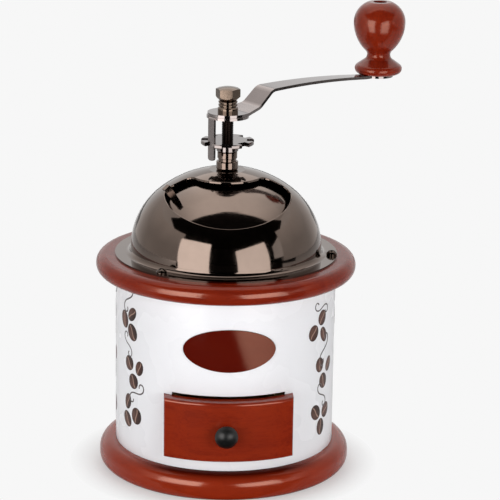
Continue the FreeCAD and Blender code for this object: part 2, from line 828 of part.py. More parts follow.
# A tapered groove between two levels of a cone, turned along its length
def tooth_groove(low, high, skew, half_pitch, depth, outward):
    """low and high are (radius, z); the groove opens outwards or, if not outward, inwards."""
    faces = []
    side = 1 if outward else -1
    for (radius, z), angle in ((low, 0.0), (high, skew)):
        open_radius = radius + side * depth
        root_radius = radius - side * depth
        points = [V(open_radius, -2 * half_pitch, z), V(open_radius, 2 * half_pitch, z), V(root_radius, 0, z)]
        faces.append(turn(Part.makePolygon(points + points[:1]), angle))
    return Part.makeLoft(faces, True, True)


# Outer burr: a flanged iron ring with breaker grooves above and fine teeth below the throat
def make_outer_burr():
    body = burr_body_diameter / 2
    flange = funnel_floor_outer
    mouth = burr_mouth_diameter / 2
    throat = burr_throat_diameter / 2
    outlet = burr_outlet_diameter / 2
    ring = turned((outlet, z_burr_bottom), (body, z_burr_bottom), (body, z_burr_top - burr_flange_thickness),
                  (flange, z_burr_top - burr_flange_thickness), (flange, z_burr_top), (mouth, z_burr_top),
                  (throat, z_throat))
    half = math.pi * throat / fine_teeth / 2 * fine_tooth_width
    slope = (outlet - throat) / burr_band_height
    past = fine_tooth_depth
    fine = tooth_groove((outlet + slope * past, z_burr_bottom - past), (throat - slope * past, z_throat + past),
                        -fine_skew, half, fine_tooth_depth, False)
    wide = math.pi * throat / mouth_teeth / 4
    rise = (mouth - throat) / (z_burr_top - z_throat)
    breaker = tooth_groove((throat - rise, z_throat - 1), (mouth + rise, z_burr_top + 1), breaker_skew / 2,
                           wide, mouth_tooth_depth, False)
    ring = ring.cut(around(fine, fine_teeth))
    return ring.cut(around(breaker, mouth_teeth) + burr_screws(screw_clearance))


# Inner burr: a cone with spiral breaker flutes above a band of fine teeth
def make_inner_burr():
    top = burr_top_diameter / 2
    shoulder = burr_throat_diameter / 2 - burr_gap
    foot = burr_outlet_diameter / 2 - burr_gap
    cone = turned((0, z_inner_bottom), (foot - 1, z_inner_bottom), (foot, z_inner_bottom + 1),
                  (foot, z_burr_bottom), (shoulder, z_throat), (top, z_inner_top), (0, z_inner_top))
    half = math.pi * shoulder / fine_teeth / 2 * fine_tooth_width
    slope = (foot - shoulder) / burr_band_height
    below = z_burr_bottom - z_inner_bottom + 1
    fine = tooth_groove((foot + slope * below, z_inner_bottom - 1), (shoulder - slope, z_throat + 1),
                        fine_skew, half, fine_tooth_depth, True)
    wide = math.pi * shoulder / breaker_teeth / 4
    breaker = tooth_groove((shoulder, z_throat), (top, z_inner_top + 1), breaker_skew, wide, breaker_depth, True)
    cone = cone.cut(around(fine, fine_teeth))
    cone = cone.cut(around(breaker, breaker_teeth))
    hole = spindle_square / 2 + drive_clearance
    return cone.cut(box(-hole, hole, -hole, hole, z_inner_bottom - 1, z_inner_top + 1))


def make_burr_washer():
    return tube(burr_washer_diameter / 2, spindle_tail_diameter / 2 + drive_clearance,
                z_burr_washer, z_inner_bottom)


def make_burr_nut():
    nut = hexagon(burr_nut_flats, z_burr_nut, z_burr_washer)
    return nut.cut(cylinder(spindle_tail_diameter / 2 + drive_clearance, z_burr_nut - 1, z_burr_washer + 1))


# Bearing bridge with its pressed-in bush
def make_bridge():
    bar = box(-bridge_half, bridge_half, -bridge_width / 2, bridge_width / 2, z_ring_top, z_bridge_top)
    bar = bar.common(cylinder(bridge_half, z_ring_top, z_bridge_top))
    middle = (z_ring_top + z_bridge_top) / 2
    hub = cylinder(bridge_hub_diameter / 2, middle - bridge_hub_height / 2, middle + bridge_hub_height / 2)
    bore = cylinder(bridge_bush_diameter / 2, z_bridge_bush_bottom - 1, z_bridge_bush_top + 1)
    return join(bar, hub).cut([bore] + bridge_screws(screw_clearance))


def make_bridge_bush():
    return tube(bridge_bush_diameter / 2, spindle_diameter / 2 + running_clearance,
                z_bridge_bush_bottom, z_bridge_bush_top)


# Spindle: threaded tail, square for the inner burr, round shaft and a tip with two flats
def make_spindle():
    shaft = cylinder(spindle_diameter / 2, z_inner_top, z_plate_bottom)
    square = box(-spindle_square / 2, spindle_square / 2, -spindle_square / 2, spindle_square / 2,
                 z_inner_bottom, z_inner_top)
    tail = cylinder(spindle_tail_diameter / 2, z_spindle_tail, z_inner_bottom)
    tip = cylinder(spindle_tip_diameter / 2, z_plate_bottom, z_cap_top - cap_wall)
    flats = box(-spindle_diameter, spindle_diameter, -spindle_tip_flats / 2, spindle_tip_flats / 2,
                z_plate_bottom, z_eye_top)
    upper = cylinder(spindle_tip_diameter / 2, z_eye_top, z_cap_top)
    tip = tip.common(join(flats, upper))
    return join(shaft, square, tail, turn(tip, arm_azimuth))


def tip_hole(z0, z1):
    """Hole with two flats that takes the spindle's tip."""
    hole = cylinder(spindle_tip_diameter / 2 + drive_clearance, z0, z1)
    half = spindle_tip_flats / 2 + drive_clearance
    hole = hole.common(box(-spindle_diameter, spindle_diameter, -half, half, z0, z1))
    return turn(hole, arm_azimuth)


# Thrust spring: closed end turns and open middle turns in one tube
def helix_point(turns, radius, rise):
    angle = 2 * math.pi * turns
    return V(radius * math.cos(angle), radius * math.sin(angle), rise)


def biarc(p0, t0, p1, t1):
    """Two arcs that leave p0 along t0 and reach p1 along t1."""
    span = p1 - p0
    both = t0 + t1
    a = 2 * (1 - t0.dot(t1))
    b = 2 * span.dot(both)
    d = (-b + math.sqrt(b * b + 4 * a * span.dot(span))) / (2 * a)
    q0 = p0 + t0 * d
    q1 = p1 - t1 * d
    middle = (q0 + q1) * 0.5
    return [tangent_arc(p0, q0, middle), tangent_arc(middle, q1, p1)]


def tangent_arc(start, corner, end):
    chord = (start + end) * 0.5
    half = (end - start).Length / 2
    lean = math.acos(half / (corner - start).Length)
    bulge = corner - chord
    bulge.normalize()
    return Part.Arc(start, chord + bulge * (half * math.tan(lean / 2)), end).toShape()


def spring_rise():
    """Height of the wire's centre above its start, at every quarter turn."""
    closed = spring_wire + spring_end_gap
    length = z_bridge_bush_bottom - spring_end_play - z_spring_bottom - spring_wire
    open_pitch = (length - 2 * closed) / spring_free_turns
    steps = []
    for i in range(int(round(4 * (spring_free_turns + 2))) + 1):
        turns = i / 4.0
        closed_turns = min(turns, 1.0) + max(turns - 1.0 - spring_free_turns, 0.0)
        steps.append(closed * closed_turns + open_pitch * (turns - closed_turns))
    return steps


def make_spring():
    radius = spring_mean_diameter / 2
    rises = spring_rise()
    quarter = math.pi * radius / 2
    points = [helix_point(i / 4.0, radius, z_spring_bottom + spring_wire / 2 + rise)
              for i, rise in enumerate(rises)]
    tangents = []
    for i, point in enumerate(points):
        before = rises[max(i - 1, 0)]
        after = rises[min(i + 1, len(rises) - 1)]
        climb = (after - before) / (quarter * (2 if 0 < i < len(rises) - 1 else 1))
        tangent = V(-point.y / radius, point.x / radius, climb)
        tangent.normalize()
        tangents.append(tangent)
    edges = []
    for i in range(len(points) - 1):
        edges += biarc(points[i], tangents[i], points[i + 1], tangents[i + 1])
    path = Part.Wire(edges)
    circle = Part.Wire([Part.Circle(points[0], tangents[0], spring_wire / 2).toShape()])
    report_spring_gap(path)
    return path.makePipeShell([circle], True, False)


def report_spring_gap(path):
    """Least gap between neighbouring turns of the spring, on points along its centre line."""
    points = path.discretize(Number=200)
    per_turn = 200 / (spring_free_turns + 2)
    least = min(p.distanceToPoint(q) for i, p in enumerate(points)
                for q in points[i + int(per_turn / 2) + 1:])
    print("spring: least gap to itself %.2f mm" % (least - spring_wire))


def make_spring_washer():
    return tube(spring_washer_diameter / 2, spindle_diameter / 2 + drive_clearance, z_inner_top, z_spring_bottom)


# Adjusting wheel: a notched disc on a hub
def make_wheel():
    rim = wheel_diameter / 2
    hub = wheel_hub_diameter / 2
    chamfer = wheel_chamfer
    wheel = turned((0, z_hub_bottom), (hub - chamfer, z_hub_bottom), (hub, z_hub_bottom + chamfer),
                   (hub, z_wheel_bottom), (rim - chamfer, z_wheel_bottom), (rim, z_wheel_bottom + chamfer),
                   (rim, z_wheel_top - chamfer), (rim - chamfer, z_wheel_top), (0, z_wheel_top))
    half = leg_width / 2 + notch_clearance
    notch = box(wheel_notch_floor, 2 * rim, -half, half, z_wheel_bottom - 1, z_wheel_top + 1)
    bore = cylinder(spindle_diameter / 2 + running_clearance, z_hub_bottom - 1, z_wheel_top + 1)
    return wheel.cut(around(notch, wheel_notches, leg_azimuth) + [bore])


# Lock plate: a disc whose bent-down leg stands in a notch of the wheel
def make_lock_plate():
    t = plate_thickness
    disc = cylinder(plate_diameter / 2, z_plate_bottom, z_eye_bottom)
    k = t * math.sqrt(0.5)
    leg = section((0, z_plate_bottom), (leg_reach - t, z_plate_bottom), (leg_reach - t, z_plate_bottom - leg_length),
                  (leg_reach, z_plate_bottom - leg_length), (leg_reach, z_plate_bottom),
                  ((leg_reach - t + k, z_plate_bottom + k), (leg_reach - t, z_eye_bottom)), (0, z_eye_bottom))
    leg = moved(leg, 0, -leg_width / 2, 0).extrude(V(0, leg_width, 0))
    corners = [e for e in leg.Edges if abs(e.CenterOfMass.z - z_plate_bottom + leg_length) < 1e-6
               and abs(e.Length - t) < 1e-6]
    leg = leg.makeFillet(leg_end_radius, corners)
    return join(disc, turn(leg, leg_azimuth)).cut(tip_hole(z_plate_bottom - 1, z_eye_bottom + 1))


# Crank arm: a tapered strap with two bends and two round eyes
def tapered_link(r0, r1, x0, x1):
    """Face in plan: two circles and the straight sides that touch both."""
    angle = math.acos((r0 - r1) / (x1 - x0))
    c = math.cos(angle)
    s = math.sin(angle)
    sides = Part.Face(Part.makePolygon([
        V(x0 + r0 * c, r0 * s, 0), V(x1 + r1 * c, r1 * s, 0), V(x1 + r1 * c, -r1 * s, 0),
        V(x0 + r0 * c, -r0 * s, 0), V(x0 + r0 * c, r0 * s, 0)]))
    rounds = [Part.Face(Part.Wire([Part.Circle(V(x, 0, 0), V(0, 0, 1), r).toShape()]))
              for x, r in ((x0, r0), (x1, r1))]
    return [f.extrude(V(0, 0, z_grip_bottom + arm_arch + arm_drop)) for f in [sides] + rounds]


def make_crank_arm():
    seat = arm_reach - arm_grip_seat
    half = (seat - arm_second_bend) / 2
    arch_top = z_arm_top + arm_drop / 2 + arm_arch
    arch_radius = arm_arch_share * half ** 2 / arm_arch
    strap = bent_strip([(-2 * arm_eye_radius, z_eye_top), (arm_lift_start, z_eye_top),
                        (arm_first_bend, z_eye_top + arm_lift), (arm_second_bend, z_eye_top + arm_rise),
                        (arm_second_bend + half, arch_top), (seat, z_arm_top),
                        (arm_reach + 2 * arm_end_radius, z_arm_top)],
                       [arm_bend, arm_bend, arm_bend, arch_radius, arm_seat_bend], arm_thickness)
    strap = moved(strap, 0, -2 * arm_eye_radius, 0).extrude(V(0, 4 * arm_eye_radius, 0))
    plan = join(*tapered_link(arm_eye_radius, arm_neck_radius, 0, arm_first_bend),
                *tapered_link(arm_neck_radius, arm_tip_radius, arm_first_bend, arm_reach),
                moved(cylinder(arm_end_radius, 0, z_grip_bottom + arm_arch + arm_drop), arm_reach, 0, 0))
    arm = turn(strap.common(plan), arm_azimuth)
    return arm.cut([tip_hole(z_eye_bottom - 1, z_eye_top + 1), at_grip(stud_solid(screw_clearance))])


def at_grip(shape):
    angle = math.radians(arm_azimuth)
    return moved(shape, arm_reach * math.cos(angle), arm_reach * math.sin(angle), 0)


# Cap nut: a ribbed collar under a crowned hexagon with a blind bore
def make_cap_nut():
    rib = collar_diameter / 2
    groove = rib - collar_rib_depth
    skirt = collar_skirt_diameter / 2
    z_skirt = z_eye_top + collar_skirt_height
    pitch = (collar_height - collar_skirt_height) / collar_ribs
    steps = [(0, z_eye_top), (skirt, z_eye_top), (skirt, z_skirt - skirt + rib), (rib, z_skirt)]
    for i in range(collar_ribs):
        z = z_skirt + i * pitch
        low = z + pitch * collar_groove
        high = z + pitch
        steps += [(groove, z), (groove, low), (rib, low),
                  ((rib + collar_rib_bulge, (low + high) / 2), (rib, high))]
    collar = turned(*steps, (0, z_cap_bottom))
    corner = cap_across_flats / math.sqrt(3)
    taper = corner - groove
    z_rim = z_cap_top - cap_crown
    round_form = turned((0, z_cap_bottom), (groove, z_cap_bottom),
                        (corner, z_cap_bottom + taper), (corner, z_rim),
                        (cap_middle(corner, z_rim, z_cap_top), (0, z_cap_top)))
    head = hexagon(cap_across_flats, z_cap_bottom, z_cap_top).common(round_form)
    bore = cylinder(spindle_tip_diameter / 2 + drive_clearance, z_eye_top - 1, z_cap_top - cap_wall)
    return join(collar, turn(head, cap_turn)).cut(bore)


# Turned grip: foot, waist, belly and a flat top with a recess for the stud's head
def flank_middle(end, widest):
    """Middle of the arc between a point and the widest point of a turned form, where the arc runs upright."""
    rise = end[1] - widest[1]
    center = (end[0] ** 2 + rise ** 2 - widest[0] ** 2) / (2 * (end[0] - widest[0]))
    half = math.atan2(rise, end[0] - center) / 2
    return (center + (widest[0] - center) * math.cos(half), widest[1] + (widest[0] - center) * math.sin(half))


def make_grip():
    z = z_grip_bottom
    h = grip_height
    rim, foot_top, flank, waist, neck, belly = [z + h * share for share in grip_levels]
    widest = (grip_belly_radius, belly)
    above_waist = (grip_waist_radius * grip_neck, neck)
    top_edge = (grip_top_radius, z + h)
    grip = turned((0, z), (grip_foot_radius * grip_foot_flat, z),
                  ((grip_foot_radius, rim), (grip_foot_radius * grip_foot_top, foot_top)),
                  (grip_waist_radius * grip_flank, flank), ((grip_waist_radius, waist), above_waist),
                  (flank_middle(above_waist, widest), widest), (flank_middle(top_edge, widest), top_edge), (0, z + h))
    recess = cylinder(stud_head_diameter / 2 + running_clearance, z + h - grip_recess_depth, z + h + 1)
    bore = cylinder(stud_diameter / 2 + running_clearance, z - 1, z + h)
    pocket = cylinder(washer_diameter / 2 + washer_room, z - 1, z + washer_thickness)
    return at_grip(grip.cut([recess, bore, pocket]))


def stud_solid(grow=0.0):
    shank = stud_diameter / 2 + grow
    head = stud_head_diameter / 2 - running_clearance
    rivet = stud_rivet_diameter / 2
    z_head = z_grip_bottom + grip_height - grip_recess_depth + grip_end_play
    z_under = z_arm_top - arm_thickness
    z_rivet = z_under - stud_rivet_height
    z_rim = z_head + stud_head_height * pan_rim
    z_top = z_head + stud_head_height
    return turned((0, z_rivet), (cap_middle(rivet, z_under, z_rivet), (rivet, z_under)),
                  (shank, z_under), (shank, z_head), (head, z_head), (head, z_rim),
                  (cap_middle(head, z_rim, z_top), (0, z_top)))


def make_grip_washer():
    return at_grip(tube(washer_diameter / 2, stud_diameter / 2 + screw_clearance,
                        z_arm_top, z_arm_top + washer_thickness))


# Fixed housing
export("base_disc", make_base())
export("drum", make_drum())
export("front_plaque", make_plaque())
export("top_ring", make_ring())
export("base_screws", Part.Compound(base_screws()))
export("rail_screws", Part.Compound(rail_screws()))
export("ring_screws", Part.Compound(ring_screws()))
export("rail_left", make_rail(-1))
export("rail_right", make_rail(1))

# Hopper and fixed mill parts
export("hopper_dome", make_dome())
export("flange_screws", Part.Compound(flange_screws()))
export("dome_bush", make_dome_bush())
export("shutter_clip", make_shutter_clip())
export("hopper_funnel", make_funnel())
export("bearing_bridge", make_bridge())
export("bridge_bush", make_bridge_bush())
export("bridge_screws", Part.Compound(bridge_screws()))
export("outer_burr", make_outer_burr())
export("burr_screws", Part.Compound(burr_screws()))

# Shutter
export("shutter", make_shutter())

# Drawer
export("drawer_front", make_drawer_front())
export("drawer_side_left", make_drawer_side(-1))
export("drawer_side_right", make_drawer_side(1))
export("drawer_back", make_drawer_back())
export("drawer_floor", drawer_floor_solid())
export("drawer_knob", make_drawer_knob())
export("drawer_knob_screw", pull_screw())

# Adjusting wheel, spindle and crank
export("adjusting_wheel", make_wheel())
export("spindle", make_spindle())
export("inner_burr", make_inner_burr())
export("burr_washer", make_burr_washer())
export("burr_nut", make_burr_nut())
export("thrust_spring", make_spring())
export("spring_washer", make_spring_washer())
export("lock_plate", make_lock_plate())
export("crank_arm", make_crank_arm())
export("cap_nut", make_cap_nut())
export("grip_stud", at_grip(stud_solid()))
export("grip_washer", make_grip_washer())

# Grip
export("grip", make_grip())
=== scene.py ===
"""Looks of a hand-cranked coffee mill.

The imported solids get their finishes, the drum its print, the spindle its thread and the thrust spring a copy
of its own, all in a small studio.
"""

import math

import bpy
from bpy.props import FloatProperty, FloatVectorProperty, IntProperty, PointerProperty
from mathutils import Matrix, Vector


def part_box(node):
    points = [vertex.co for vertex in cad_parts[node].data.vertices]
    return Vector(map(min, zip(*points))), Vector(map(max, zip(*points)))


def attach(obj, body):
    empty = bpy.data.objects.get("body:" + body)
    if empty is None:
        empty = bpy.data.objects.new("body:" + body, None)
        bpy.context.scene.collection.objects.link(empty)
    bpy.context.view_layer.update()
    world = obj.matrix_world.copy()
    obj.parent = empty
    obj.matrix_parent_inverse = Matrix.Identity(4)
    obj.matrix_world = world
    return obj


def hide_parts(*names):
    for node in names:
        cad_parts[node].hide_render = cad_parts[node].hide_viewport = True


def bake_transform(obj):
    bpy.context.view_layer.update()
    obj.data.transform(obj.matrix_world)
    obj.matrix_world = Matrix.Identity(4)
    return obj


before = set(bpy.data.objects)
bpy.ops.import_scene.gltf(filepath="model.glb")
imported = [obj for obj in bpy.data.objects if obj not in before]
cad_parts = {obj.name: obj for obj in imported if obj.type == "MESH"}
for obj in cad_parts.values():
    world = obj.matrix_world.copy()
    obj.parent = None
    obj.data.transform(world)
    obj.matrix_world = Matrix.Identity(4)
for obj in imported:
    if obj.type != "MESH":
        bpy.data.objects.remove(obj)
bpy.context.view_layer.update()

bl_info = {
    "name": "Coffee Mill Looks",
    "version": (1, 0, 0),
    "blender": (4, 5, 0),
    "location": "View3D > Sidebar > Mill",
    "description": "Finishes, printed decoration and studio for a hand-cranked coffee mill",
    "category": "Object",
}

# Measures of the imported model, in metres

DRUM_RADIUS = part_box("drum")[1].x
BASE_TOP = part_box("base_disc")[1].z
RING_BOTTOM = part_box("top_ring")[0].z
WHEEL_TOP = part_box("adjusting_wheel")[1].z
PLATE_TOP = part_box("lock_plate")[1].z
SPINDLE_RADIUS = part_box("spindle")[1].x
PLAQUE_LOW, PLAQUE_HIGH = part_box("front_plaque")
PLAQUE_MIDDLE = (PLAQUE_LOW.z + PLAQUE_HIGH.z) / 2
PLATE_THICKNESS = 0.0012
CRANK_TURN = math.radians(35)


# Settings

def shade(red, green, blue):
    """A colour as a screen shows it, 0 to 255, in the linear values that a shader takes."""
    parts = [c / 255 for c in (red, green, blue)]
    return tuple(c / 12.92 if c <= 0.04045 else ((c + 0.055) / 1.055) ** 2.4 for c in parts)


def colour(name, description, *screen):
    return FloatVectorProperty(name=name, description=description, subtype="COLOR", size=3,
                               min=0.0, max=1.0, default=shade(*screen))


def length(name, description, default):
    return FloatProperty(name=name, description=description, default=default, min=0.0,
                         unit="LENGTH", precision=5)


def power(name, description, default):
    return FloatProperty(name=name, description=description, default=default, min=0.0, unit="POWER")


def brightness(name, description, default):
    return FloatProperty(name=name, description=description, default=default, min=0.0)


def number_of(name, description, default):
    return IntProperty(name=name, description=description, default=default, min=1)


class MillFinish(bpy.types.PropertyGroup):
    """Colours of the mill's finishes."""
    wood_dark: colour("Wood dark", "Dark streaks of the lacquered mahogany", 82, 13, 5)
    wood_mid: colour("Wood", "Main tone of the lacquered mahogany", 128, 31, 11)
    wood_light: colour("Wood light", "Light streaks of the lacquered mahogany", 146, 43, 16)
    drum_white: colour("Drum", "White lacquer of the drum", 240, 240, 243)
    black_chrome: colour("Black chrome", "Mirror finish of dome, shutter and flange screws", 114, 101, 93)
    gunmetal: colour("Gunmetal", "Crank strap, lock plate and adjusting wheel", 142, 134, 132)
    nickel: colour("Nickel", "Dome bush", 112, 98, 90)
    warm_nickel: colour("Warm nickel", "Cap nut with its ribbed collar", 110, 96, 85)
    dark_steel: colour("Dark steel", "Threaded spindle", 26, 20, 18)
    pressed_steel: colour("Pressed steel", "Hopper funnel", 150, 146, 140)
    ground_iron: colour("Ground iron", "Both burrs", 96, 92, 88)
    zinc_steel: colour("Zinc steel", "Bridge, clip, hidden screws and washers", 178, 178, 176)
    bronze: colour("Bronze", "Bridge bush", 168, 122, 72)
    stud_steel: colour("Stud steel", "Grip stud and its washer", 122, 116, 110)
    spring_steel: colour("Spring steel", "Thrust spring", 128, 124, 120)
    graphite: colour("Graphite", "Drawer knob", 18, 19, 19)
    pale_wood: colour("Pale wood", "Drawer box and rails", 205, 170, 125)
    plywood: colour("Plywood", "Drawer floor", 196, 158, 112)


class MillPrint(bpy.types.PropertyGroup):
    """The drum's printed decoration of beans and scrolls."""
    bean_length: length("Bean length", "Length of a printed bean", 0.0086)
    bean_width: length("Bean width", "Width of a printed bean", 0.0072)
    ink: length("Ink", "Thickness of the print over the drum", 0.00005)
    columns: number_of("Columns", "Upright rows of clusters round the drum", 8)
    rows: number_of("Rows", "Clusters above each other", 3)
    beans: number_of("Beans", "Beans in a cluster", 3)
    bare_angle: FloatProperty(name="Bare front", description="Unprinted angle to each side of the front",
                              default=math.radians(41), subtype="ANGLE")
    stroke: length("Stroke", "Width of a printed scroll's line", 0.00075)
    scroll: length("Scroll", "Length of a printed scroll's line", 0.030)
    seed: IntProperty(name="Seed", description="Layout of the print", default=4)
    bean_light: colour("Bean light", "Beans of a light roast", 78, 42, 32)
    bean_dark: colour("Bean dark", "Beans of a dark roast", 46, 25, 20)
    bean_cheek: colour("Bean cheek", "Lit side of a bean", 140, 98, 82)
    bean_rim: colour("Bean rim", "Rim of a bean", 48, 28, 25)
    bean_crease: colour("Bean crease", "Crease along a bean", 186, 150, 132)
    bean_speck: colour("Bean speck", "Specks on the beans", 40, 22, 20)
    line_dark: colour("Line dark", "Scrolls where the ink is thick", 58, 50, 50)
    line_light: colour("Line light", "Scrolls where the ink is thin", 88, 76, 74)


class MillThread(bpy.types.PropertyGroup):
    """The thread that shows between adjusting wheel and lock plate."""
    pitch: length("Pitch", "Rise of the thread in one turn", 0.0009)
    depth: length("Depth", "How far the ridge stands out of the spindle", 0.00015)
    travel: length("Travel", "Plain spindle left above the wheel for the grind adjustment", 0.0017)


class MillStage(bpy.types.PropertyGroup):
    """Floor, lamps and what the mirror finishes show."""
    backdrop: brightness("Backdrop", "Brightness of the background", 0.93)
    fill: brightness("Fill", "Light from all round", 0.20)
    left_power: power("Left lamp", "Power of the left lamp", 5.8)
    right_power: power("Right lamp", "Power of the right lamp", 5.4)
    top_power: power("Top lamp", "Power of the top lamp", 3.8)
    back_power: power("Back lamp", "Power of the lamp behind the mill", 2.6)
    left_glow: brightness("Left box", "Brightness of the left lamp in reflections", 3.6)
    right_glow: brightness("Right box", "Brightness of the right lamp in reflections", 3.0)
    top_glow: brightness("Top box", "Brightness of the top lamp in reflections", 1.7)
    wall_glow: brightness("Walls", "Brightness of the side walls in reflections", 0.62)
    floor_radius: length("Floor radius", "Radius of the floor", 6.0)


def finishes():
    return bpy.context.scene.mill_finish


# Node helpers

class Wire:
    """An output in a node tree. A sum of wires and numbers makes maths nodes in that tree."""

    def __init__(self, socket):
        self.socket = socket
        self.tree = socket.id_data

    def __add__(self, other):
        return maths("ADD", self, other)

    def __sub__(self, other):
        return maths("SUBTRACT", self, other)

    def __rsub__(self, other):
        return maths("SUBTRACT", other, self)

    def __mul__(self, other):
        return maths("MULTIPLY", self, other)

    def __truediv__(self, other):
        return maths("DIVIDE", self, other)

    def __mod__(self, other):
        return maths("MODULO", self, other)

    def __abs__(self):
        return maths("ABSOLUTE", self)


def feed(socket, value):
    """Links a socket to a wire, or sets its value."""
    if isinstance(value, Wire):
        value.tree.links.new(value.socket, socket)
    else:
        socket.default_value = value


def give(made, inputs):
    """Feeds inputs of a node by their names or numbers."""
    for key, value in inputs.items():
        feed(made.inputs[key], value)


def node(kind, inputs, tree=None, **settings):
    """A new node with its settings and inputs, in a given tree or in that of the wires that feed it."""
    if tree is None:
        tree = next(value.tree for value in inputs.values() if isinstance(value, Wire))
    made = tree.nodes.new(kind)
    for key, value in settings.items():
        setattr(made, key, value)
    give(made, inputs)
    return made


def out_of(kind, inputs, tree=None, **settings):
    """First output of a new node."""
    return Wire(node(kind, inputs, tree, **settings).outputs[0])


def outputs_of(made):
    """Outputs of a node by their names."""
    return {socket.name: Wire(socket) for socket in made.outputs}


def live(sockets, name=None):
    """The socket in use among those for other kinds of value, by its name or the first one."""
    return next(s for s in sockets if s.enabled and name in (None, s.name))


def maths(operation, *values, **settings):
    return out_of("ShaderNodeMath", dict(enumerate(values)), operation=operation, **settings)


def scaled(vector, by):
    return out_of("ShaderNodeVectorMath", {0: vector, 1: by}, operation="MULTIPLY")


def length_of(vector):
    return outputs_of(node("ShaderNodeVectorMath", {0: vector}, operation="LENGTH"))["Value"]


def joined(x=0.0, y=0.0, z=0.0):
    return out_of("ShaderNodeCombineXYZ", {"X": x, "Y": y, "Z": z})


def parts_of(vector):
    return outputs_of(node("ShaderNodeSeparateXYZ", {0: vector}))


def ranged(value, low, high, to_low=0.0, to_high=1.0):
    """Value moved from one range to another, and held at its ends."""
    return out_of("ShaderNodeMapRange", {0: value, 1: low, 2: high, 3: to_low, 4: to_high})


def between(share, low, high):
    return ranged(share, 0.0, 1.0, low, high)


def noise(vector, scale, detail=2.0, distortion=0.0):
    return out_of("ShaderNodeTexNoise",
                  {"Vector": vector, "Scale": scale, "Detail": detail, "Distortion": distortion})


def opaque(value):
    return value if isinstance(value, Wire) else (*tuple(value)[:3], 1.0)


def blended(share, first, second):
    """Colour between two colours."""
    made = node("ShaderNodeMix", {0: share, 6: opaque(first), 7: opaque(second)}, data_type="RGBA")
    return Wire(made.outputs[2])


def tinted(ground, mask, share, tone):
    """A colour that takes up a share of a tone where a mask is full."""
    return blended(mask * share, ground, tone)


def coordinates(tree):
    return outputs_of(tree.nodes.new("ShaderNodeTexCoord"))["Object"]


def in_millimetres(place):
    return scaled(place, (1000.0, 1000.0, 1000.0))


def turned_place(place, rotation):
    return out_of("ShaderNodeMapping", {"Vector": place, "Rotation": rotation})


def bumped(height, distance, strength=1.0, under=None):
    """Normal of a surface with a relief of a given depth on it, over the normal of a larger one."""
    inputs = {"Height": height, "Distance": distance, "Strength": strength}
    if under:
        inputs["Normal"] = under
    return out_of("ShaderNodeBump", inputs)


# Shared shader effects

def shader_group(name, inputs, outputs):
    """A new shader group with inputs for numbers and vectors: its wires, and the node at its end."""
    tree = bpy.data.node_groups.new(name, "ShaderNodeTree")
    for label, default in inputs.items():
        kind = "NodeSocketFloat" if isinstance(default, float) else "NodeSocketVector"
        tree.interface.new_socket(label, in_out="INPUT", socket_type=kind).default_value = default
    for label in outputs:
        tree.interface.new_socket(label, in_out="OUTPUT", socket_type="NodeSocketFloat")
    return outputs_of(tree.nodes.new("NodeGroupInput")), tree.nodes.new("NodeGroupOutput")


def placed(group_name, inputs):
    """Outputs of a group that is placed in a material with its own values."""
    return outputs_of(node("ShaderNodeGroup", inputs, node_tree=bpy.data.node_groups[group_name]))


def make_wood_grain():
    """Streaks, fine lines and pores along X, with coordinates in metres."""
    given, out = shader_group("Wood Grain", {"Vector": (0.0, 0.0, 0.0), "Streak": 0.16, "Pore": 2.6},
                              ["Figure", "Pores", "Height"])
    place = in_millimetres(given["Vector"])
    sway = noise(scaled(place, (0.05, 0.05, 0.05)), 1.0, detail=1.0)
    bent = joined(0.0, ranged(sway, 0.3, 0.7, -3.0, 3.0), sway)
    swayed = out_of("ShaderNodeVectorMath", {0: place, 1: bent}, operation="ADD")
    broad = noise(scaled(swayed, (0.07, 1.0, 1.0)), given["Streak"], detail=3.0, distortion=0.4)
    fine = noise(scaled(swayed, (0.03, 1.0, 1.0)), 1.3, detail=3.0)
    dash = noise(scaled(swayed, (0.09, 1.0, 1.0)), given["Pore"], detail=1.0)
    pores = ranged(dash, 0.62, 0.72)
    figure = ranged(broad * 0.65 + fine * 0.35, 0.32, 0.68)
    give(out, {"Figure": figure, "Pores": pores, "Height": figure * 0.25 - pores})


def make_lacquer_peel():
    """The faint waviness and the small flecks of a sprayed, rubbed coat."""
    given, out = shader_group("Lacquer Peel", {"Vector": (0.0, 0.0, 0.0), "Wave": 0.35},
                              ["Height", "Cloud", "Fleck"])
    place = in_millimetres(given["Vector"])
    give(out, {"Height": noise(place, given["Wave"], detail=1.0),
               "Cloud": ranged(noise(place, 0.045, detail=2.0), 0.3, 0.7),
               "Fleck": ranged(noise(place, 1.9, detail=0.0), 0.74, 0.80)})


def make_metal_polish():
    """Polishing lines, hazy patches and fine pits of worked metal."""
    given, out = shader_group(
        "Metal Polish", {"Vector": (0.0, 0.0, 0.0), "Stretch": (1.0, 1.0, 1.0), "Fineness": 2.0},
        ["Lines", "Haze", "Pits"])
    place = in_millimetres(given["Vector"])
    lines = noise(scaled(place, given["Stretch"]), given["Fineness"], detail=2.0)
    give(out, {"Lines": ranged(lines, 0.3, 0.7),
               "Haze": ranged(noise(place, 0.07, detail=3.0, distortion=0.3), 0.35, 0.65),
               "Pits": ranged(noise(place, 3.1, detail=0.0), 0.72, 0.82)})


# Finishes

LACQUER_TINT = (1.0, 0.60, 0.42, 1.0)
# Facing values between which the lacquer goes from its gloss in front to its sheen at the sides
SHINE_FALL = (0.06, 0.26)
# Radii and front limits of the painted shade along the base's turned step, and its strength
STEP_RADII = (0.0586, 0.0612)
STEP_FRONT = (-0.050, -0.034)
STEP_SHADE = 0.85


def new_material(name):
    """A material with its Principled shader and the object's own coordinates."""
    material = bpy.data.materials.new(name)
    material.use_nodes = True
    tree = material.node_tree
    return material, tree.nodes["Principled BSDF"], coordinates(tree)


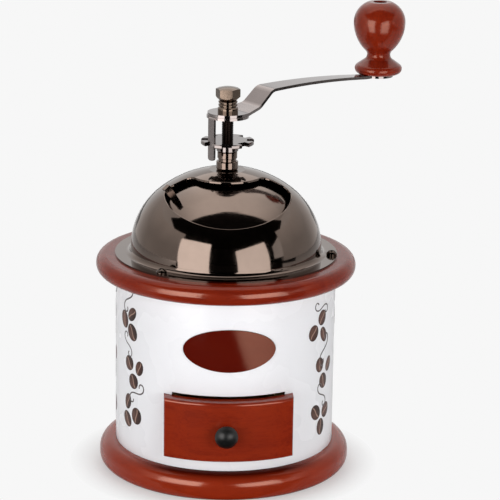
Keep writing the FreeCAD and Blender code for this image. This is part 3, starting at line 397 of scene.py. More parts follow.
def painted_step_shade(place):
    """Mask of the painted shade along the base's turned step, only in front of the drum."""
    spot = parts_of(place)
    near = ranged(length_of(joined(spot["X"], spot["Y"])), *STEP_RADII, STEP_SHADE, 0.0)
    return near * ranged(spot["Y"], *STEP_FRONT, 1.0, 0.0)


def twisted(place, twist):
    """Normal of the plaque, warped a little about its middle; the twist is its slope per metre."""
    spot = parts_of(place)
    return bumped(spot["X"] * (spot["Z"] - PLAQUE_MIDDLE) * twist, distance=1.0)


def mahogany(name, rotation=(0.0, 0.0, 0.0), light=1.0, gloss=1.0, sheen=0.2, rough=1.0,
             step=False, twist=0.0):
    """Stained mahogany under a thick gloss lacquer, with the grain along X before its rotation.

    Light is 0 for the dark tone, 1 for the main tone and 2 for the light tone. Step paints shade along the
    base's turned step in front of the drum.
    """
    tones = finishes()
    material, surface, place = new_material(name)
    grain = placed("Wood Grain", {"Vector": turned_place(place, rotation), "Streak": 0.15})
    peel = placed("Lacquer Peel", {"Vector": place, "Wave": 0.30})
    stain_and_shade = blended(grain["Figure"], tones.wood_mid, tones.wood_light)
    stain_and_shade = blended(ranged(grain["Figure"], 0.0, 0.45, 0.28, 0.0), stain_and_shade, tones.wood_dark)
    stain_and_shade = tinted(stain_and_shade, grain["Pores"], 0.35, tones.wood_dark)
    stain_and_shade = tinted(stain_and_shade, peel["Cloud"], 0.12, tones.wood_dark)
    stain_and_shade = blended(abs(1.0 - light), stain_and_shade, tones.wood_dark if light < 1.0 else tones.wood_light)
    side_on = outputs_of(node("ShaderNodeLayerWeight", {"Blend": 0.5}, place.tree))["Facing"]
    shine = ranged(side_on, *SHINE_FALL, gloss, sheen)
    # Painted shade: on the base's step in front of the drum the colour goes towards near black and most of the
    # gloss is taken away
    if step:
        step_shade = painted_step_shade(place)
        stain_and_shade = blended(step_shade, stain_and_shade, Vector(tones.wood_dark) * 0.3)
        shine = shine * ranged(step_shade, 0.0, STEP_SHADE, 1.0, 0.1)
    under = twisted(place, twist) if twist else None
    give(surface, {"Base Color": stain_and_shade,
                   "Roughness": between(grain["Figure"], 0.22 * rough, 0.17 * rough),
                   "Specular IOR Level": shine,
                   "Specular Tint": LACQUER_TINT,
                   "Coat Weight": shine * 0.5,
                   "Coat Roughness": 0.10 * rough,
                   "Normal": bumped(grain["Height"] * 0.4 + peel["Height"], 0.00005, 0.3, under)})
    return material


def white_lacquer():
    """Sprayed white lacquer with a soft gloss and a faint waviness."""
    material, surface, place = new_material("White lacquer")
    peel = placed("Lacquer Peel", {"Vector": place, "Wave": 0.22})
    white = Vector(finishes().drum_white)
    coat = tinted(white, peel["Cloud"], 0.3, white * 0.99)
    coat = tinted(coat, peel["Fleck"], 0.12, white * 0.7)
    give(surface, {"Base Color": coat,
                   "Roughness": between(peel["Cloud"], 0.26, 0.28),
                   "Specular IOR Level": 0.3,
                   "Coat Weight": 0.15,
                   "Coat Roughness": 0.10,
                   "Normal": bumped(peel["Height"], 0.00003, 0.2)})
    return material


def metal(name, tone, smooth, dull, fineness=2.0, relief=0.15, stretch=(1.0, 1.0, 1.0), turn=0.0):
    """Worked metal whose tone and roughness, from smooth to dull, follow polishing lines, haze and pits."""
    material, surface, place = new_material(name)
    along = turned_place(place, (0.0, 0.0, turn))
    polish = placed("Metal Polish", {"Vector": along, "Stretch": stretch, "Fineness": fineness})
    tone = Vector(tone)
    skin = tinted(tone, polish["Haze"], 0.6, tone * 0.82)
    skin = tinted(skin, polish["Pits"], 0.15, tone * 0.5)
    worn = polish["Lines"] * 0.6 + polish["Haze"] * 0.4
    give(surface, {"Base Color": skin,
                   "Metallic": 1.0,
                   "Roughness": between(worn, smooth, dull),
                   "Normal": bumped(polish["Lines"] - polish["Pits"], 0.00002, relief)})
    return material


def bare_wood(name, tone, rotation, pore):
    """Unfinished pale wood or plywood."""
    material, surface, place = new_material(name)
    grain = placed("Wood Grain", {"Vector": turned_place(place, rotation), "Streak": 0.3, "Pore": pore})
    tone = Vector(tone)
    board = blended(grain["Figure"], tone * 0.82, tone * 1.05)
    give(surface, {"Base Color": tinted(board, grain["Pores"], 0.5, tone * 0.5),
                   "Roughness": between(grain["Figure"], 0.72, 0.6),
                   "Normal": bumped(grain["Height"], 0.00012, 0.5)})
    return material


def moulded_graphite():
    """Dark moulded knob with a fine skin."""
    material, surface, place = new_material("Graphite")
    peel = placed("Lacquer Peel", {"Vector": place, "Wave": 1.4})
    tone = Vector(finishes().graphite)
    skin = tinted(tone, peel["Cloud"], 0.6, tone * 0.75)
    give(surface, {"Base Color": tinted(skin, peel["Fleck"], 0.4, tone * 1.7),
                   "Roughness": between(peel["Cloud"], 0.30, 0.42),
                   "Normal": bumped(peel["Height"], 0.00003, 0.5)})
    return material


def bean_ink(chosen):
    """Printed beans: a dark rim, a lighter cheek and a pale bent crease, from the print's own attributes."""
    material, surface, place = new_material("Bean ink")
    bean = node("ShaderNodeAttribute", {}, place.tree, attribute_name="bean")
    tint = node("ShaderNodeAttribute", {}, place.tree, attribute_name="tint")
    spot = parts_of(outputs_of(bean)["Vector"])
    bend = maths("SINE", spot["Y"] * 2.6) * 0.17
    groove = ranged(abs(spot["X"] - bend), 0.05, 0.13, 1.0, 0.0)
    crease = groove * ranged(abs(spot["Y"]), 0.78, 0.92, 1.0, 0.0)
    rim = ranged(length_of(joined(spot["X"], spot["Y"])), 0.45, 1.0)
    cheek = ranged(spot["X"], -0.9, 0.4, 1.0, 0.0)
    speck = noise(in_millimetres(place), 1.6, detail=2.0)
    roast = blended(outputs_of(tint)["Fac"], chosen.bean_light, chosen.bean_dark)
    roast = tinted(roast, cheek, 0.55, chosen.bean_cheek)
    roast = tinted(roast, rim, 0.7, chosen.bean_rim)
    roast = tinted(roast, crease, 0.75, chosen.bean_crease)
    roast = blended(ranged(speck, 0.4, 0.7, 0.0, 0.25), roast, chosen.bean_speck)
    give(surface, {"Base Color": roast,
                   "Roughness": ranged(speck, 0.3, 0.7, 0.30, 0.40),
                   "Specular IOR Level": 0.25})
    return material


def scroll_ink(chosen):
    """Dark printed line with a slightly uneven deposit."""
    material, surface, place = new_material("Scroll ink")
    patch = noise(in_millimetres(place), 0.8, detail=2.0)
    give(surface, {"Base Color": blended(ranged(patch, 0.35, 0.65), chosen.line_dark, chosen.line_light),
                   "Roughness": ranged(patch, 0.3, 0.7, 0.30, 0.42)})
    return material


def dress(material, *names):
    """Gives CAD pieces their finish."""
    for name in names:
        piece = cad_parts[name]
        if not piece.material_slots:
            piece.data.materials.append(material)
        for slot in piece.material_slots:
            slot.material = material


# Geometry trees

PRINT_INPUTS = {"Radius": "Float", "Bottom": "Float", "Top": "Float", "Bare Angle": "Float", "Columns": "Int",
                "Rows": "Int", "Ink": "Float", "Seed": "Int", "Material": "Material"}
THREAD_INPUTS = {"Radius": "Float", "Bottom": "Float", "Top": "Float", "Pitch": "Float", "Depth": "Float",
                 "Material": "Material"}
FULL_TURN = 2 * math.pi
BEAN_SIDES = 20
SCROLL_POINTS = 72
SCROLL_TURN = 5.2
SCROLL_TAPER = (1.25, 0.55)
THREAD_SIDES = 40
RIDGE_SIDES = 4

# Layout of the print in shares of a column or a row, and the ranges of its random draws
FIRST_ROW = 0.42
COLUMN_STAGGER = 0.16
CLUSTER_WANDER = (-0.14, 0.14)
CLUSTER_LIFT = (-0.07, 0.07)
BEAN_SPREAD = (0.56, 0.72)
BEAN_LEAN = (-0.9, 0.9)
BEAN_WIDE = (0.78, 1.12)
BEAN_TALL = (0.88, 1.08)
SCROLL_LEAN = (-0.5, 0.5)
SCROLL_SIZE = (0.8, 1.05)


def growth(name, inputs):
    """A new geometry tree with its inputs: the tree, its wires and the socket at its end."""
    tree = bpy.data.node_groups.new(name, "GeometryNodeTree")
    tree.interface.new_socket("Geometry", in_out="OUTPUT", socket_type="NodeSocketGeometry")
    for label, kind in inputs.items():
        tree.interface.new_socket(label, in_out="INPUT", socket_type="NodeSocket" + kind)
    given = outputs_of(tree.nodes.new("NodeGroupInput"))
    return tree, given, tree.nodes.new("NodeGroupOutput").inputs[0]


def grown(name, tree, values):
    """The plain mesh object that a geometry tree makes from its values."""
    piece = bpy.data.objects.new(name, bpy.data.meshes.new(name))
    bpy.context.scene.collection.objects.link(piece)
    modifier = piece.modifiers.new("Growth", "NODES")
    modifier.node_group = tree
    for item in tree.interface.items_tree:
        if item.item_type == "SOCKET" and item.in_out == "INPUT":
            modifier[item.identifier] = values[item.name]
    bpy.context.view_layer.update()
    made = bpy.data.meshes.new_from_object(piece.evaluated_get(bpy.context.evaluated_depsgraph_get()))
    if not made.polygons:
        raise RuntimeError("the tree of " + name + " made no faces")
    piece.modifiers.remove(modifier)
    piece.data = made
    made.name = name
    return piece


def realized(geometry):
    return out_of("GeometryNodeRealizeInstances", {0: geometry})


def close(out, geometry, material):
    """Realizes the geometry and gives it its material, as every tree ends."""
    feed(out, out_of("GeometryNodeSetMaterial", {"Geometry": realized(geometry), "Material": material}))


def position(tree):
    return out_of("GeometryNodeInputPosition", {}, tree)


def moved(geometry, place):
    return out_of("GeometryNodeSetPosition", {"Geometry": geometry, "Position": place})


def points_at(count, x, y):
    return moved(out_of("GeometryNodePoints", {"Count": count}), joined(x, y))


def scattered(points, shape, lean, wide, tall):
    """A flat shape on each point, leaning and sized in its own way."""
    return out_of("GeometryNodeInstanceOnPoints",
                  {"Points": points, "Instance": shape, "Rotation": joined(0.0, 0.0, lean),
                   "Scale": joined(wide, tall, 1.0)})


def stride(reach, heading):
    """Both parts of a flat move."""
    return reach * maths("COSINE", heading), reach * maths("SINE", heading)


def chance(given, low, high, number, draw):
    """A fixed random value for each numbered thing, another one for each draw."""
    made = node("FunctionNodeRandomValue", {}, number.tree, data_type="FLOAT")
    for key, value in (("Min", low), ("Max", high), ("ID", number), ("Seed", given["Seed"] + float(draw))):
        feed(live(made.inputs, key), value)
    return Wire(live(made.outputs))


def cluster_places(given, number, shift):
    """Unrolled place of a numbered cluster: along the drum's girth from the front, and up.

    A shift of half a row gives the places between the clusters.
    """
    column = number % given["Columns"]
    row = maths("FLOOR", number / given["Columns"])
    free = FULL_TURN - given["Bare Angle"] * 2.0
    wander = chance(given, *CLUSTER_WANDER, number, 1 + shift * 10)
    angle = given["Bare Angle"] + (column + 0.5 + wander) * (free / given["Columns"])
    rise = (given["Top"] - given["Bottom"]) / given["Rows"]
    lift = (column % 2.0) * COLUMN_STAGGER + chance(given, *CLUSTER_LIFT, number, 2 + shift * 10)
    up = row + (FIRST_ROW + shift) + lift
    return angle * given["Radius"], given["Bottom"] + up * rise


def wrapped(given, geometry):
    """Bends unrolled geometry round the drum: X runs along the girth, Y up and Z outwards."""
    spot = parts_of(position(geometry.tree))
    angle = spot["X"] / given["Radius"]
    reach = spot["Z"] + given["Radius"]
    x = reach * maths("SINE", angle)
    y = reach * (maths("COSINE", angle) * -1.0)
    return moved(geometry, joined(x, y, spot["Y"]))


def bean_shape(tree, given):
    """A flat bean that remembers where each of its points lies on it."""
    chip = out_of("GeometryNodeMeshCylinder",
                  {"Vertices": BEAN_SIDES, "Side Segments": 1, "Fill Segments": 2, "Radius": 1.0,
                   "Depth": 1.0}, tree, fill_type="TRIANGLE_FAN")
    marked = out_of("GeometryNodeStoreNamedAttribute",
                    {"Geometry": chip, "Name": "bean", "Value": position(tree)},
                    data_type="FLOAT_VECTOR", domain="POINT")
    size = joined(given["Bean Width"] * 0.5, given["Bean Length"] * 0.5, given["Ink"] * 2.0)
    return out_of("GeometryNodeTransform", {"Geometry": marked, "Scale": size})


def bean_tree():
    """Clusters of printed beans, laid out flat and wrapped round the drum."""
    tree, given, out = growth(
        "Bean Print", {**PRINT_INPUTS, "Beans": "Int", "Bean Length": "Float", "Bean Width": "Float"})
    index = out_of("GeometryNodeInputIndex", {}, tree)
    number = maths("FLOOR", index / given["Beans"])
    part = index % given["Beans"] / given["Beans"]
    girth, height = cluster_places(given, number, 0)
    heading = chance(given, 0.0, FULL_TURN, number, 3) + part * FULL_TURN
    across, up = stride(given["Bean Length"] * chance(given, *BEAN_SPREAD, index, 4), heading)
    laid = points_at(given["Columns"] * given["Rows"] * given["Beans"], girth + across, height + up)
    lean = chance(given, *BEAN_LEAN, index, 5)
    wide = chance(given, *BEAN_WIDE, index, 6)
    tall = chance(given, *BEAN_TALL, index, 7)
    sown = scattered(laid, bean_shape(tree, given), lean, wide, tall)
    tint = chance(given, 0.0, 1.0, index, 8)
    toned = out_of("GeometryNodeStoreNamedAttribute", {"Geometry": sown, "Name": "tint", "Value": tint},
                   data_type="FLOAT", domain="INSTANCE")
    close(out, wrapped(given, realized(toned)), given["Material"])
    return tree


def scroll_shape(tree, given, index):
    """A printed line whose curvature grows evenly from its middle to both ends."""
    line = out_of("GeometryNodeMeshLine", {"Count": SCROLL_POINTS}, tree)
    along = ranged(index, 0.0, SCROLL_POINTS - 1.0, -1.0, 1.0)
    step = given["Line Length"] / float(SCROLL_POINTS)
    summed = node("GeometryNodeAccumulateField", {}, tree, data_type="FLOAT_VECTOR", domain="POINT")
    feed(live(summed.inputs), joined(*stride(step, along * along * SCROLL_TURN)))
    drawn = moved(line, Wire(live(summed.outputs)))
    middle = node("GeometryNodeAttributeStatistic", {"Geometry": drawn}, data_type="FLOAT_VECTOR",
                  domain="POINT")
    feed(live(middle.inputs, "Attribute"), position(tree))
    back = scaled(Wire(live(middle.outputs, "Mean")), (-1.0, -1.0, -1.0))
    centred = out_of("GeometryNodeSetPosition", {"Geometry": drawn, "Offset": back})
    curve = out_of("GeometryNodeMeshToCurve", {0: centred})
    curve = out_of("GeometryNodeSetCurveNormal", {"Curve": curve}, mode="Z_UP")
    taper = between(abs(along), *SCROLL_TAPER)
    curve = out_of("GeometryNodeSetCurveRadius", {"Curve": curve, "Radius": taper})
    nib = out_of("GeometryNodeCurvePrimitiveQuadrilateral",
                 {"Width": given["Stroke"], "Height": given["Ink"] * 2.0})
    return out_of("GeometryNodeCurveToMesh", {"Curve": curve, "Profile Curve": nib, "Fill Caps": True})


def scroll_tree():
    """Printed scrolls between the clusters of beans, laid out flat and wrapped round the drum."""
    tree, given, out = growth("Scroll Print", {**PRINT_INPUTS, "Stroke": "Float", "Line Length": "Float"})
    index = out_of("GeometryNodeInputIndex", {}, tree)
    laid = points_at(given["Columns"] * given["Rows"], *cluster_places(given, index, 0.5))
    lean = chance(given, *SCROLL_LEAN, index, 11)
    hand = maths("SIGN", chance(given, -1.0, 1.0, index, 12))
    size = chance(given, *SCROLL_SIZE, index, 13)
    sown = scattered(laid, scroll_shape(tree, given, index), lean, size, size * hand)
    close(out, wrapped(given, realized(sown)), given["Material"])
    return tree


def thread_tree():
    """A screw thread: a pointed ridge wound along the spindle."""
    tree, given, out = growth("Spindle Thread", THREAD_INPUTS)
    rise = given["Top"] - given["Bottom"]
    coil = out_of("GeometryNodeCurveSpiral",
                  {"Resolution": THREAD_SIDES, "Rotations": rise / given["Pitch"],
                   "Start Radius": given["Radius"], "End Radius": given["Radius"], "Height": rise})
    coil = out_of("GeometryNodeSetCurveNormal", {"Curve": coil}, mode="Z_UP")
    ridge = out_of("GeometryNodeCurvePrimitiveCircle", {"Resolution": RIDGE_SIDES, "Radius": given["Depth"]})
    wound = out_of("GeometryNodeCurveToMesh", {"Curve": coil, "Profile Curve": ridge, "Fill Caps": True})
    lift = joined(0.0, 0.0, given["Bottom"])
    close(out, out_of("GeometryNodeTransform", {"Geometry": wound, "Translation": lift}), given["Material"])
    return tree


def print_values(chosen, ink):
    """What both prints share, with a bean's length left bare at the drum's two ends."""
    margin = chosen.bean_length
    return {"Radius": DRUM_RADIUS, "Bottom": BASE_TOP + margin, "Top": RING_BOTTOM - margin,
            "Bare Angle": chosen.bare_angle, "Columns": chosen.columns, "Rows": chosen.rows,
            "Ink": chosen.ink, "Seed": chosen.seed, "Material": ink}


# Operators, one for each piece or group of like pieces

class MILL_OT_effects(bpy.types.Operator):
    """Builds the shader effects that several finishes share"""
    bl_idname = "mill.effects"
    bl_label = "Shared effects"

    def execute(self, context):
        make_wood_grain()
        make_lacquer_peel()
        make_metal_polish()
        return {"FINISHED"}


class MILL_OT_woodwork(bpy.types.Operator):
    """Lacquers the turned base and ring, the plaque, the drawer front and the grip"""
    bl_idname = "mill.woodwork"
    bl_label = "Mahogany pieces"

    def execute(self, context):
        upright = (0.0, math.radians(90), 0.0)
        # step=True paints shade on the base's turned step in front of the drum
        dress(mahogany("Mahogany base", light=1.6, sheen=0.28, step=True), "base_disc")
        dress(mahogany("Mahogany ring", (0.0, 0.0, 0.35), light=0.72), "top_ring")
        dress(mahogany("Mahogany front", (0.0, 0.0, 0.08)), "drawer_front")
        dress(mahogany("Mahogany plaque", (0.0, 0.05, 0.0), light=0.05, gloss=0.62, rough=0.7, twist=-6.4),
              "front_plaque")
        dress(mahogany("Mahogany grip", upright, light=0.72, gloss=0.62, sheen=0.34), "grip")
        return {"FINISHED"}


class MILL_OT_drum(bpy.types.Operator):
    """Lacquers the drum white"""
    bl_idname = "mill.drum"
    bl_label = "Drum"

    def execute(self, context):
        dress(white_lacquer(), "drum")
        return {"FINISHED"}


class MILL_OT_bean_print(bpy.types.Operator):
    """Prints the clusters of beans on the drum"""
    bl_idname = "mill.bean_print"
    bl_label = "Bean print"

    def execute(self, context):
        chosen = context.scene.mill_print
        values = print_values(chosen, bean_ink(chosen))
        values.update({"Beans": chosen.beans, "Bean Length": chosen.bean_length,
                       "Bean Width": chosen.bean_width})
        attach(grown("bean_print", bean_tree(), values), "frame")
        return {"FINISHED"}


class MILL_OT_scroll_print(bpy.types.Operator):
    """Prints the scrolls between the clusters of beans"""
    bl_idname = "mill.scroll_print"
    bl_label = "Scroll print"

    def execute(self, context):
        chosen = context.scene.mill_print
        values = print_values(chosen, scroll_ink(chosen))
        values.update({"Stroke": chosen.stroke, "Line Length": chosen.scroll})
        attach(grown("scroll_print", scroll_tree(), values), "frame")
        return {"FINISHED"}


class MILL_OT_hopper(bpy.types.Operator):
    """Plates the dome with its screws and shutter, and finishes the funnel and the burrs"""
    bl_idname = "mill.hopper"
    bl_label = "Hopper and burrs"

    def execute(self, context):
        tones = finishes()
        plate = Vector(tones.black_chrome)
        dress(metal("Black chrome dome", plate, 0.05, 0.10, fineness=0.6, relief=0.04), "hopper_dome")
        dress(metal("Black chrome shutter", plate * 1.25, 0.07, 0.13, fineness=0.6, relief=0.04), "shutter")
        dress(metal("Black chrome screws", plate * 0.5, 0.08, 0.16, relief=0.05), "flange_screws")
        dress(metal("Pressed steel", tones.pressed_steel, 0.22, 0.40, fineness=1.2), "hopper_funnel")
        dress(metal("Ground iron", tones.ground_iron, 0.35, 0.60, fineness=1.6, relief=0.4),
              "outer_burr", "inner_burr")
        return {"FINISHED"}


class MILL_OT_spindle(bpy.types.Operator):
    """Finishes the spindle and winds the thread that shows above the adjusting wheel"""
    bl_idname = "mill.spindle"
    bl_label = "Spindle and thread"

    def execute(self, context):
        chosen = context.scene.mill_thread
        steel = metal("Dark steel", finishes().dark_steel, 0.24, 0.42, fineness=1.5)
        dress(steel, "spindle")
        values = {"Radius": SPINDLE_RADIUS, "Bottom": WHEEL_TOP + chosen.travel,
                  "Top": PLATE_TOP - PLATE_THICKNESS - 2 * chosen.depth,
                  "Pitch": chosen.pitch, "Depth": chosen.depth, "Material": steel}
        thread = grown("spindle_thread", thread_tree(), values)
        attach(thread, "spindle")
        return {"FINISHED"}


class MILL_OT_crank(bpy.types.Operator):
    """Finishes the crank, nuts, bushes, wheel and screws"""
    bl_idname = "mill.crank"
    bl_label = "Crank and small metal"

    def execute(self, context):
        tones = finishes()
        gunmetal = Vector(tones.gunmetal)
        dress(metal("Gunmetal strap", gunmetal, 0.06, 0.13, fineness=3.0, relief=0.05,
                    stretch=(0.05, 1.0, 1.0), turn=-CRANK_TURN), "crank_arm")
        for name, tone, smooth, dull, piece in (
                ("Gunmetal plate", gunmetal * 1.1, 0.08, 0.16, "lock_plate"),
                ("Gunmetal wheel", gunmetal * 0.8, 0.08, 0.16, "adjusting_wheel"),
                ("Warm nickel", tones.warm_nickel, 0.06, 0.14, "cap_nut"),
                ("Nickel", tones.nickel, 0.05, 0.12, "dome_bush")):
            dress(metal(name, tone, smooth, dull, fineness=1.0, relief=0.06), piece)
        dress(metal("Zinc steel", tones.zinc_steel, 0.25, 0.42, fineness=1.4),
              "base_screws", "rail_screws", "ring_screws", "bridge_screws", "burr_screws",
              "drawer_knob_screw", "burr_washer", "burr_nut", "spring_washer", "shutter_clip",
              "bearing_bridge")
        dress(metal("Bronze", tones.bronze, 0.25, 0.42, fineness=1.4), "bridge_bush")
        dress(metal("Stud steel", tones.stud_steel, 0.2, 0.36, fineness=1.4), "grip_stud", "grip_washer")
        return {"FINISHED"}


class MILL_OT_spring(bpy.types.Operator):
    """Copies the thrust spring into a mesh of its own and hides the imported one"""
    bl_idname = "mill.spring"
    bl_label = "Thrust spring"

    def execute(self, context):
        steel = metal("Spring steel", finishes().spring_steel, 0.22, 0.36, fineness=1.8)
        dress(steel, "thrust_spring")
        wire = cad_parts["thrust_spring"].data.copy()
        wire.materials.clear()
        wire.materials.append(steel)
        spring = bpy.data.objects.new("yielding_spring", wire)
        context.scene.collection.objects.link(spring)
        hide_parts("thrust_spring")
        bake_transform(spring)
        return {"FINISHED"}


class MILL_OT_drawer(bpy.types.Operator):
    """Finishes the drawer's box, its rails and its knob"""
    bl_idname = "mill.drawer"
    bl_label = "Drawer"

    def execute(self, context):
        tones = finishes()
        across = (0.0, 0.0, 0.0)
        along = (0.0, 0.0, math.radians(90))
        dress(bare_wood("Pale wood", tones.pale_wood, along, 2.2),
              "drawer_side_left", "drawer_side_right", "rail_left", "rail_right")
        dress(bare_wood("Pale wood back", tones.pale_wood, across, 2.2), "drawer_back")
        dress(bare_wood("Plywood", tones.plywood, along, 1.6), "drawer_floor")
        dress(moulded_graphite(), "drawer_knob")
        return {"FINISHED"}


class MILL_OT_stage(bpy.types.Operator):
    """Sets up the floor, the lamps with their reflections, the background and the camera"""
    bl_idname = "mill.stage"
    bl_label = "Studio"

    def execute(self, context):
        chosen = context.scene.mill_stage
        make_floor(chosen)
        make_world(chosen)
        make_lamps(chosen)
        make_reflections(chosen)
        make_camera()
        context.scene.view_settings.view_transform = "Standard"
        return {"FINISHED"}


# Studio, with directions as azimuth, elevation and distance from the mill's middle

STAGE_MIDDLE = Vector((0.0, 0.0, 0.12))
WHITE = (1.0, 1.0, 1.0, 1.0)
LAMP_WHITE = (1.0, 0.97, 0.95, 1.0)
FLOOR_GREY = (0.93, 0.93, 0.93, 1.0)
ROOM_BLACK = (0.012, 0.011, 0.011, 1.0)
FLOOR_HEIGHT = -0.0002
FLOOR_SIDES = 64
FLOOR_RINGS = (0.0, 0.1, 0.4, 1.5)
# Radii over which the shadow at the mill's foot fades, and the background's share at the foot
SHADOW_FADE = (0.0635, 0.078)
SHADOW_BACKDROP = 0.45

# Each lamp's direction, its width and height, and the setting with its power
LAMPS = {"lamp_left": ((-46, 9, 1.1), (0.9, 0.4), "left_power"),
         "lamp_right": ((32, 9, 1.1), (0.5, 0.4), "right_power"),
         "lamp_top": ((180, 72, 1.0), (0.9, 0.9), "top_power"),
         "lamp_back": ((178, 18, 1.1), (0.5, 0.5), "back_power")}

# Corners of the two leaning boxes, upper ones first
BOX_LEFT = ((-61, 24.4, 0.9), (-21, 24.6, 0.9), (-57.5, -18.5, 0.37), (-21, -20.5, 0.335))
BOX_RIGHT = ((8.6, 15.3, 0.9), (46.2, 23.7, 0.9), (11.8, -18.9, 0.36), (49.2, -16.5, 0.41))

# The ceiling's edge between its dark front and the top box, from left to right, and its far edges
CEILING_HEIGHT = 1.0
CEILING_EDGE = ((-1.12, 0.2), (-0.9, 0.0), (-0.7, -0.16), (0.0, -0.09), (0.86, -0.14), (1.08, 0.0),
                (1.15, 0.05))
CEILING_FRONT = -3.2
CEILING_FRONT_X = (-3.5, -2.5, -1.5, 0.0, 1.7, 2.8, 3.85)
CEILING_BACK = 1.6
TOP_BOX_FADE = (0.3, 1.05)
TOP_BOX_EDGE = 0.7

# The dark front of the room: its left end, and its right end at each elevation
ROOM_DISTANCE = 1.6
ROOM_LEFT = -57
ROOM_RIGHT = ((19, 55.5), (-4, 56), (-25, 67))
ROOM_COLUMNS = 24

# The dark floor before the mill: its height, its end azimuths and how many columns lie between them, the
# front of each row, and the corners of its part at the right
CARD_HEIGHT = 0.0006
CARD_AZIMUTHS = (-62, 66, 12)
CARD_FRONTS = (-0.06, -0.4, -1.7)
CARD_RIGHT = ((0.62, -0.05), (1.1, -0.05), (0.62, -0.28), (1.1, -0.5))

# The grey side walls, each angle from its first to its last in a number of steps, and the heights and depths
# over which they brighten
WALL_DISTANCE = 1.0
WALL_AZIMUTHS = {"wall_right": (68, 150, 16), "wall_left": (210, 301, 16)}
WALL_ELEVATIONS = (-6.8, 31, 6)
WALL_BRIGHT_UP = (0.30, 0.66)
WALL_BRIGHT_BACK = (0.45, 0.86)


def toward(azimuth, elevation, distance):
    """Point seen from the mill's middle; azimuth 0 is the front and grows to the right."""
    a = math.radians(azimuth)
    e = math.radians(elevation)
    way = Vector((math.sin(a) * math.cos(e), -math.cos(a) * math.cos(e), math.sin(e)))
    return STAGE_MIDDLE + distance * way


def steps(low, high, count):
    return [low + (high - low) * i / (count - 1) for i in range(count)]


def stage_mesh(name, rows, material):
    """Sheet through rows of points, marked as not part of the object."""
    mesh = bpy.data.meshes.new(name)
    wide = len(rows[0])
    points = [p for row in rows for p in row]
    faces = [(i * wide + j, i * wide + j + 1, (i + 1) * wide + j + 1, (i + 1) * wide + j)
             for i in range(len(rows) - 1) for j in range(wide - 1)]
    mesh.from_pydata(points, [], faces)
    mesh.materials.append(material)
    sheet = bpy.data.objects.new(name, mesh)
    bpy.context.scene.collection.objects.link(sheet)
    return sheet


def card(name, rows, material):
    """Sheet that shows only in reflections."""
    sheet = stage_mesh(name, rows, material)
    sheet.visible_camera = False
    sheet.visible_diffuse = False
    sheet.visible_shadow = False
    sheet.visible_transmission = False
    sheet.visible_volume_scatter = False


def glow(name, strength):
    """A material that only shines, and its emission node."""
    material = bpy.data.materials.new(name)
    material.use_nodes = True
    tree = material.node_tree
    tree.nodes.clear()
    lamp = node("ShaderNodeEmission", {"Color": LAMP_WHITE, "Strength": strength}, tree)
    node("ShaderNodeOutputMaterial", {"Surface": Wire(lamp.outputs[0])})
    return material, lamp


def top_light(chosen):
    """Glow that falls off along X towards both ends of the top box."""
    material, lamp = glow("Top box", chosen.top_glow)
    away = abs(parts_of(coordinates(material.node_tree))["X"])
    give(lamp, {"Strength": ranged(away, *TOP_BOX_FADE, chosen.top_glow, TOP_BOX_EDGE)})
    return material


def wall_light(chosen):
    """Grey walls that brighten into the background upwards and to the back."""
    material, lamp = glow("Walls", chosen.wall_glow)
    spot = parts_of(coordinates(material.node_tree))
    bright = maths("MAXIMUM", ranged(spot["Z"], *WALL_BRIGHT_UP), ranged(spot["Y"], *WALL_BRIGHT_BACK))
    give(lamp, {"Strength": between(bright, chosen.wall_glow, chosen.backdrop)})
    return material


def make_floor(chosen):
    """Pale floor that takes the mill's shadow near it and meets the background far from it."""
    material, surface, place = new_material("Pale floor")
    tree = material.node_tree
    give(surface, {"Base Color": FLOOR_GREY, "Roughness": 0.9, "Specular IOR Level": 0.1})
    far = ranged(length_of(place), *SHADOW_FADE, SHADOW_BACKDROP, 1.0)
    seen = outputs_of(tree.nodes.new("ShaderNodeLightPath"))["Is Camera Ray"]
    back = out_of("ShaderNodeEmission", {"Color": WHITE, "Strength": chosen.backdrop}, tree)
    mixed = out_of("ShaderNodeMixShader", {0: far * seen, 1: Wire(surface.outputs[0]), 2: back})
    give(tree.nodes["Material Output"], {"Surface": mixed})
    turns = steps(0.0, FULL_TURN, FLOOR_SIDES + 1)
    rings = [[Vector((reach * math.cos(a), reach * math.sin(a), FLOOR_HEIGHT)) for a in turns]
             for reach in (*FLOOR_RINGS, chosen.floor_radius)]
    stage_mesh("floor", rings, material)


def make_world(chosen):
    """Even fill light, and a pale background for the camera, mirrors and glass."""
    world = bpy.data.worlds.new("Studio")
    bpy.context.scene.world = world
    world.use_nodes = True
    tree = world.node_tree
    seen = outputs_of(tree.nodes.new("ShaderNodeLightPath"))
    shown = maths("ADD", seen["Is Camera Ray"] + seen["Is Glossy Ray"], seen["Is Transmission Ray"],
                  use_clamp=True)
    give(tree.nodes["Background"], {"Color": WHITE, "Strength": between(shown, chosen.fill, chosen.backdrop)})


def make_lamps(chosen):
    """Soft lamps that light the mill and stay out of its reflections."""
    for name, (way, size, setting) in LAMPS.items():
        lamp = bpy.data.lights.new(name, "AREA")
        lamp.shape = "RECTANGLE"
        lamp.size, lamp.size_y = size
        lamp.energy = getattr(chosen, setting)
        holder = bpy.data.objects.new(name, lamp)
        holder.location = toward(*way)
        holder.rotation_mode = "QUATERNION"
        holder.rotation_quaternion = (STAGE_MIDDLE - toward(*way)).to_track_quat("-Z", "Y")
        holder.visible_glossy = False
        bpy.context.scene.collection.objects.link(holder)


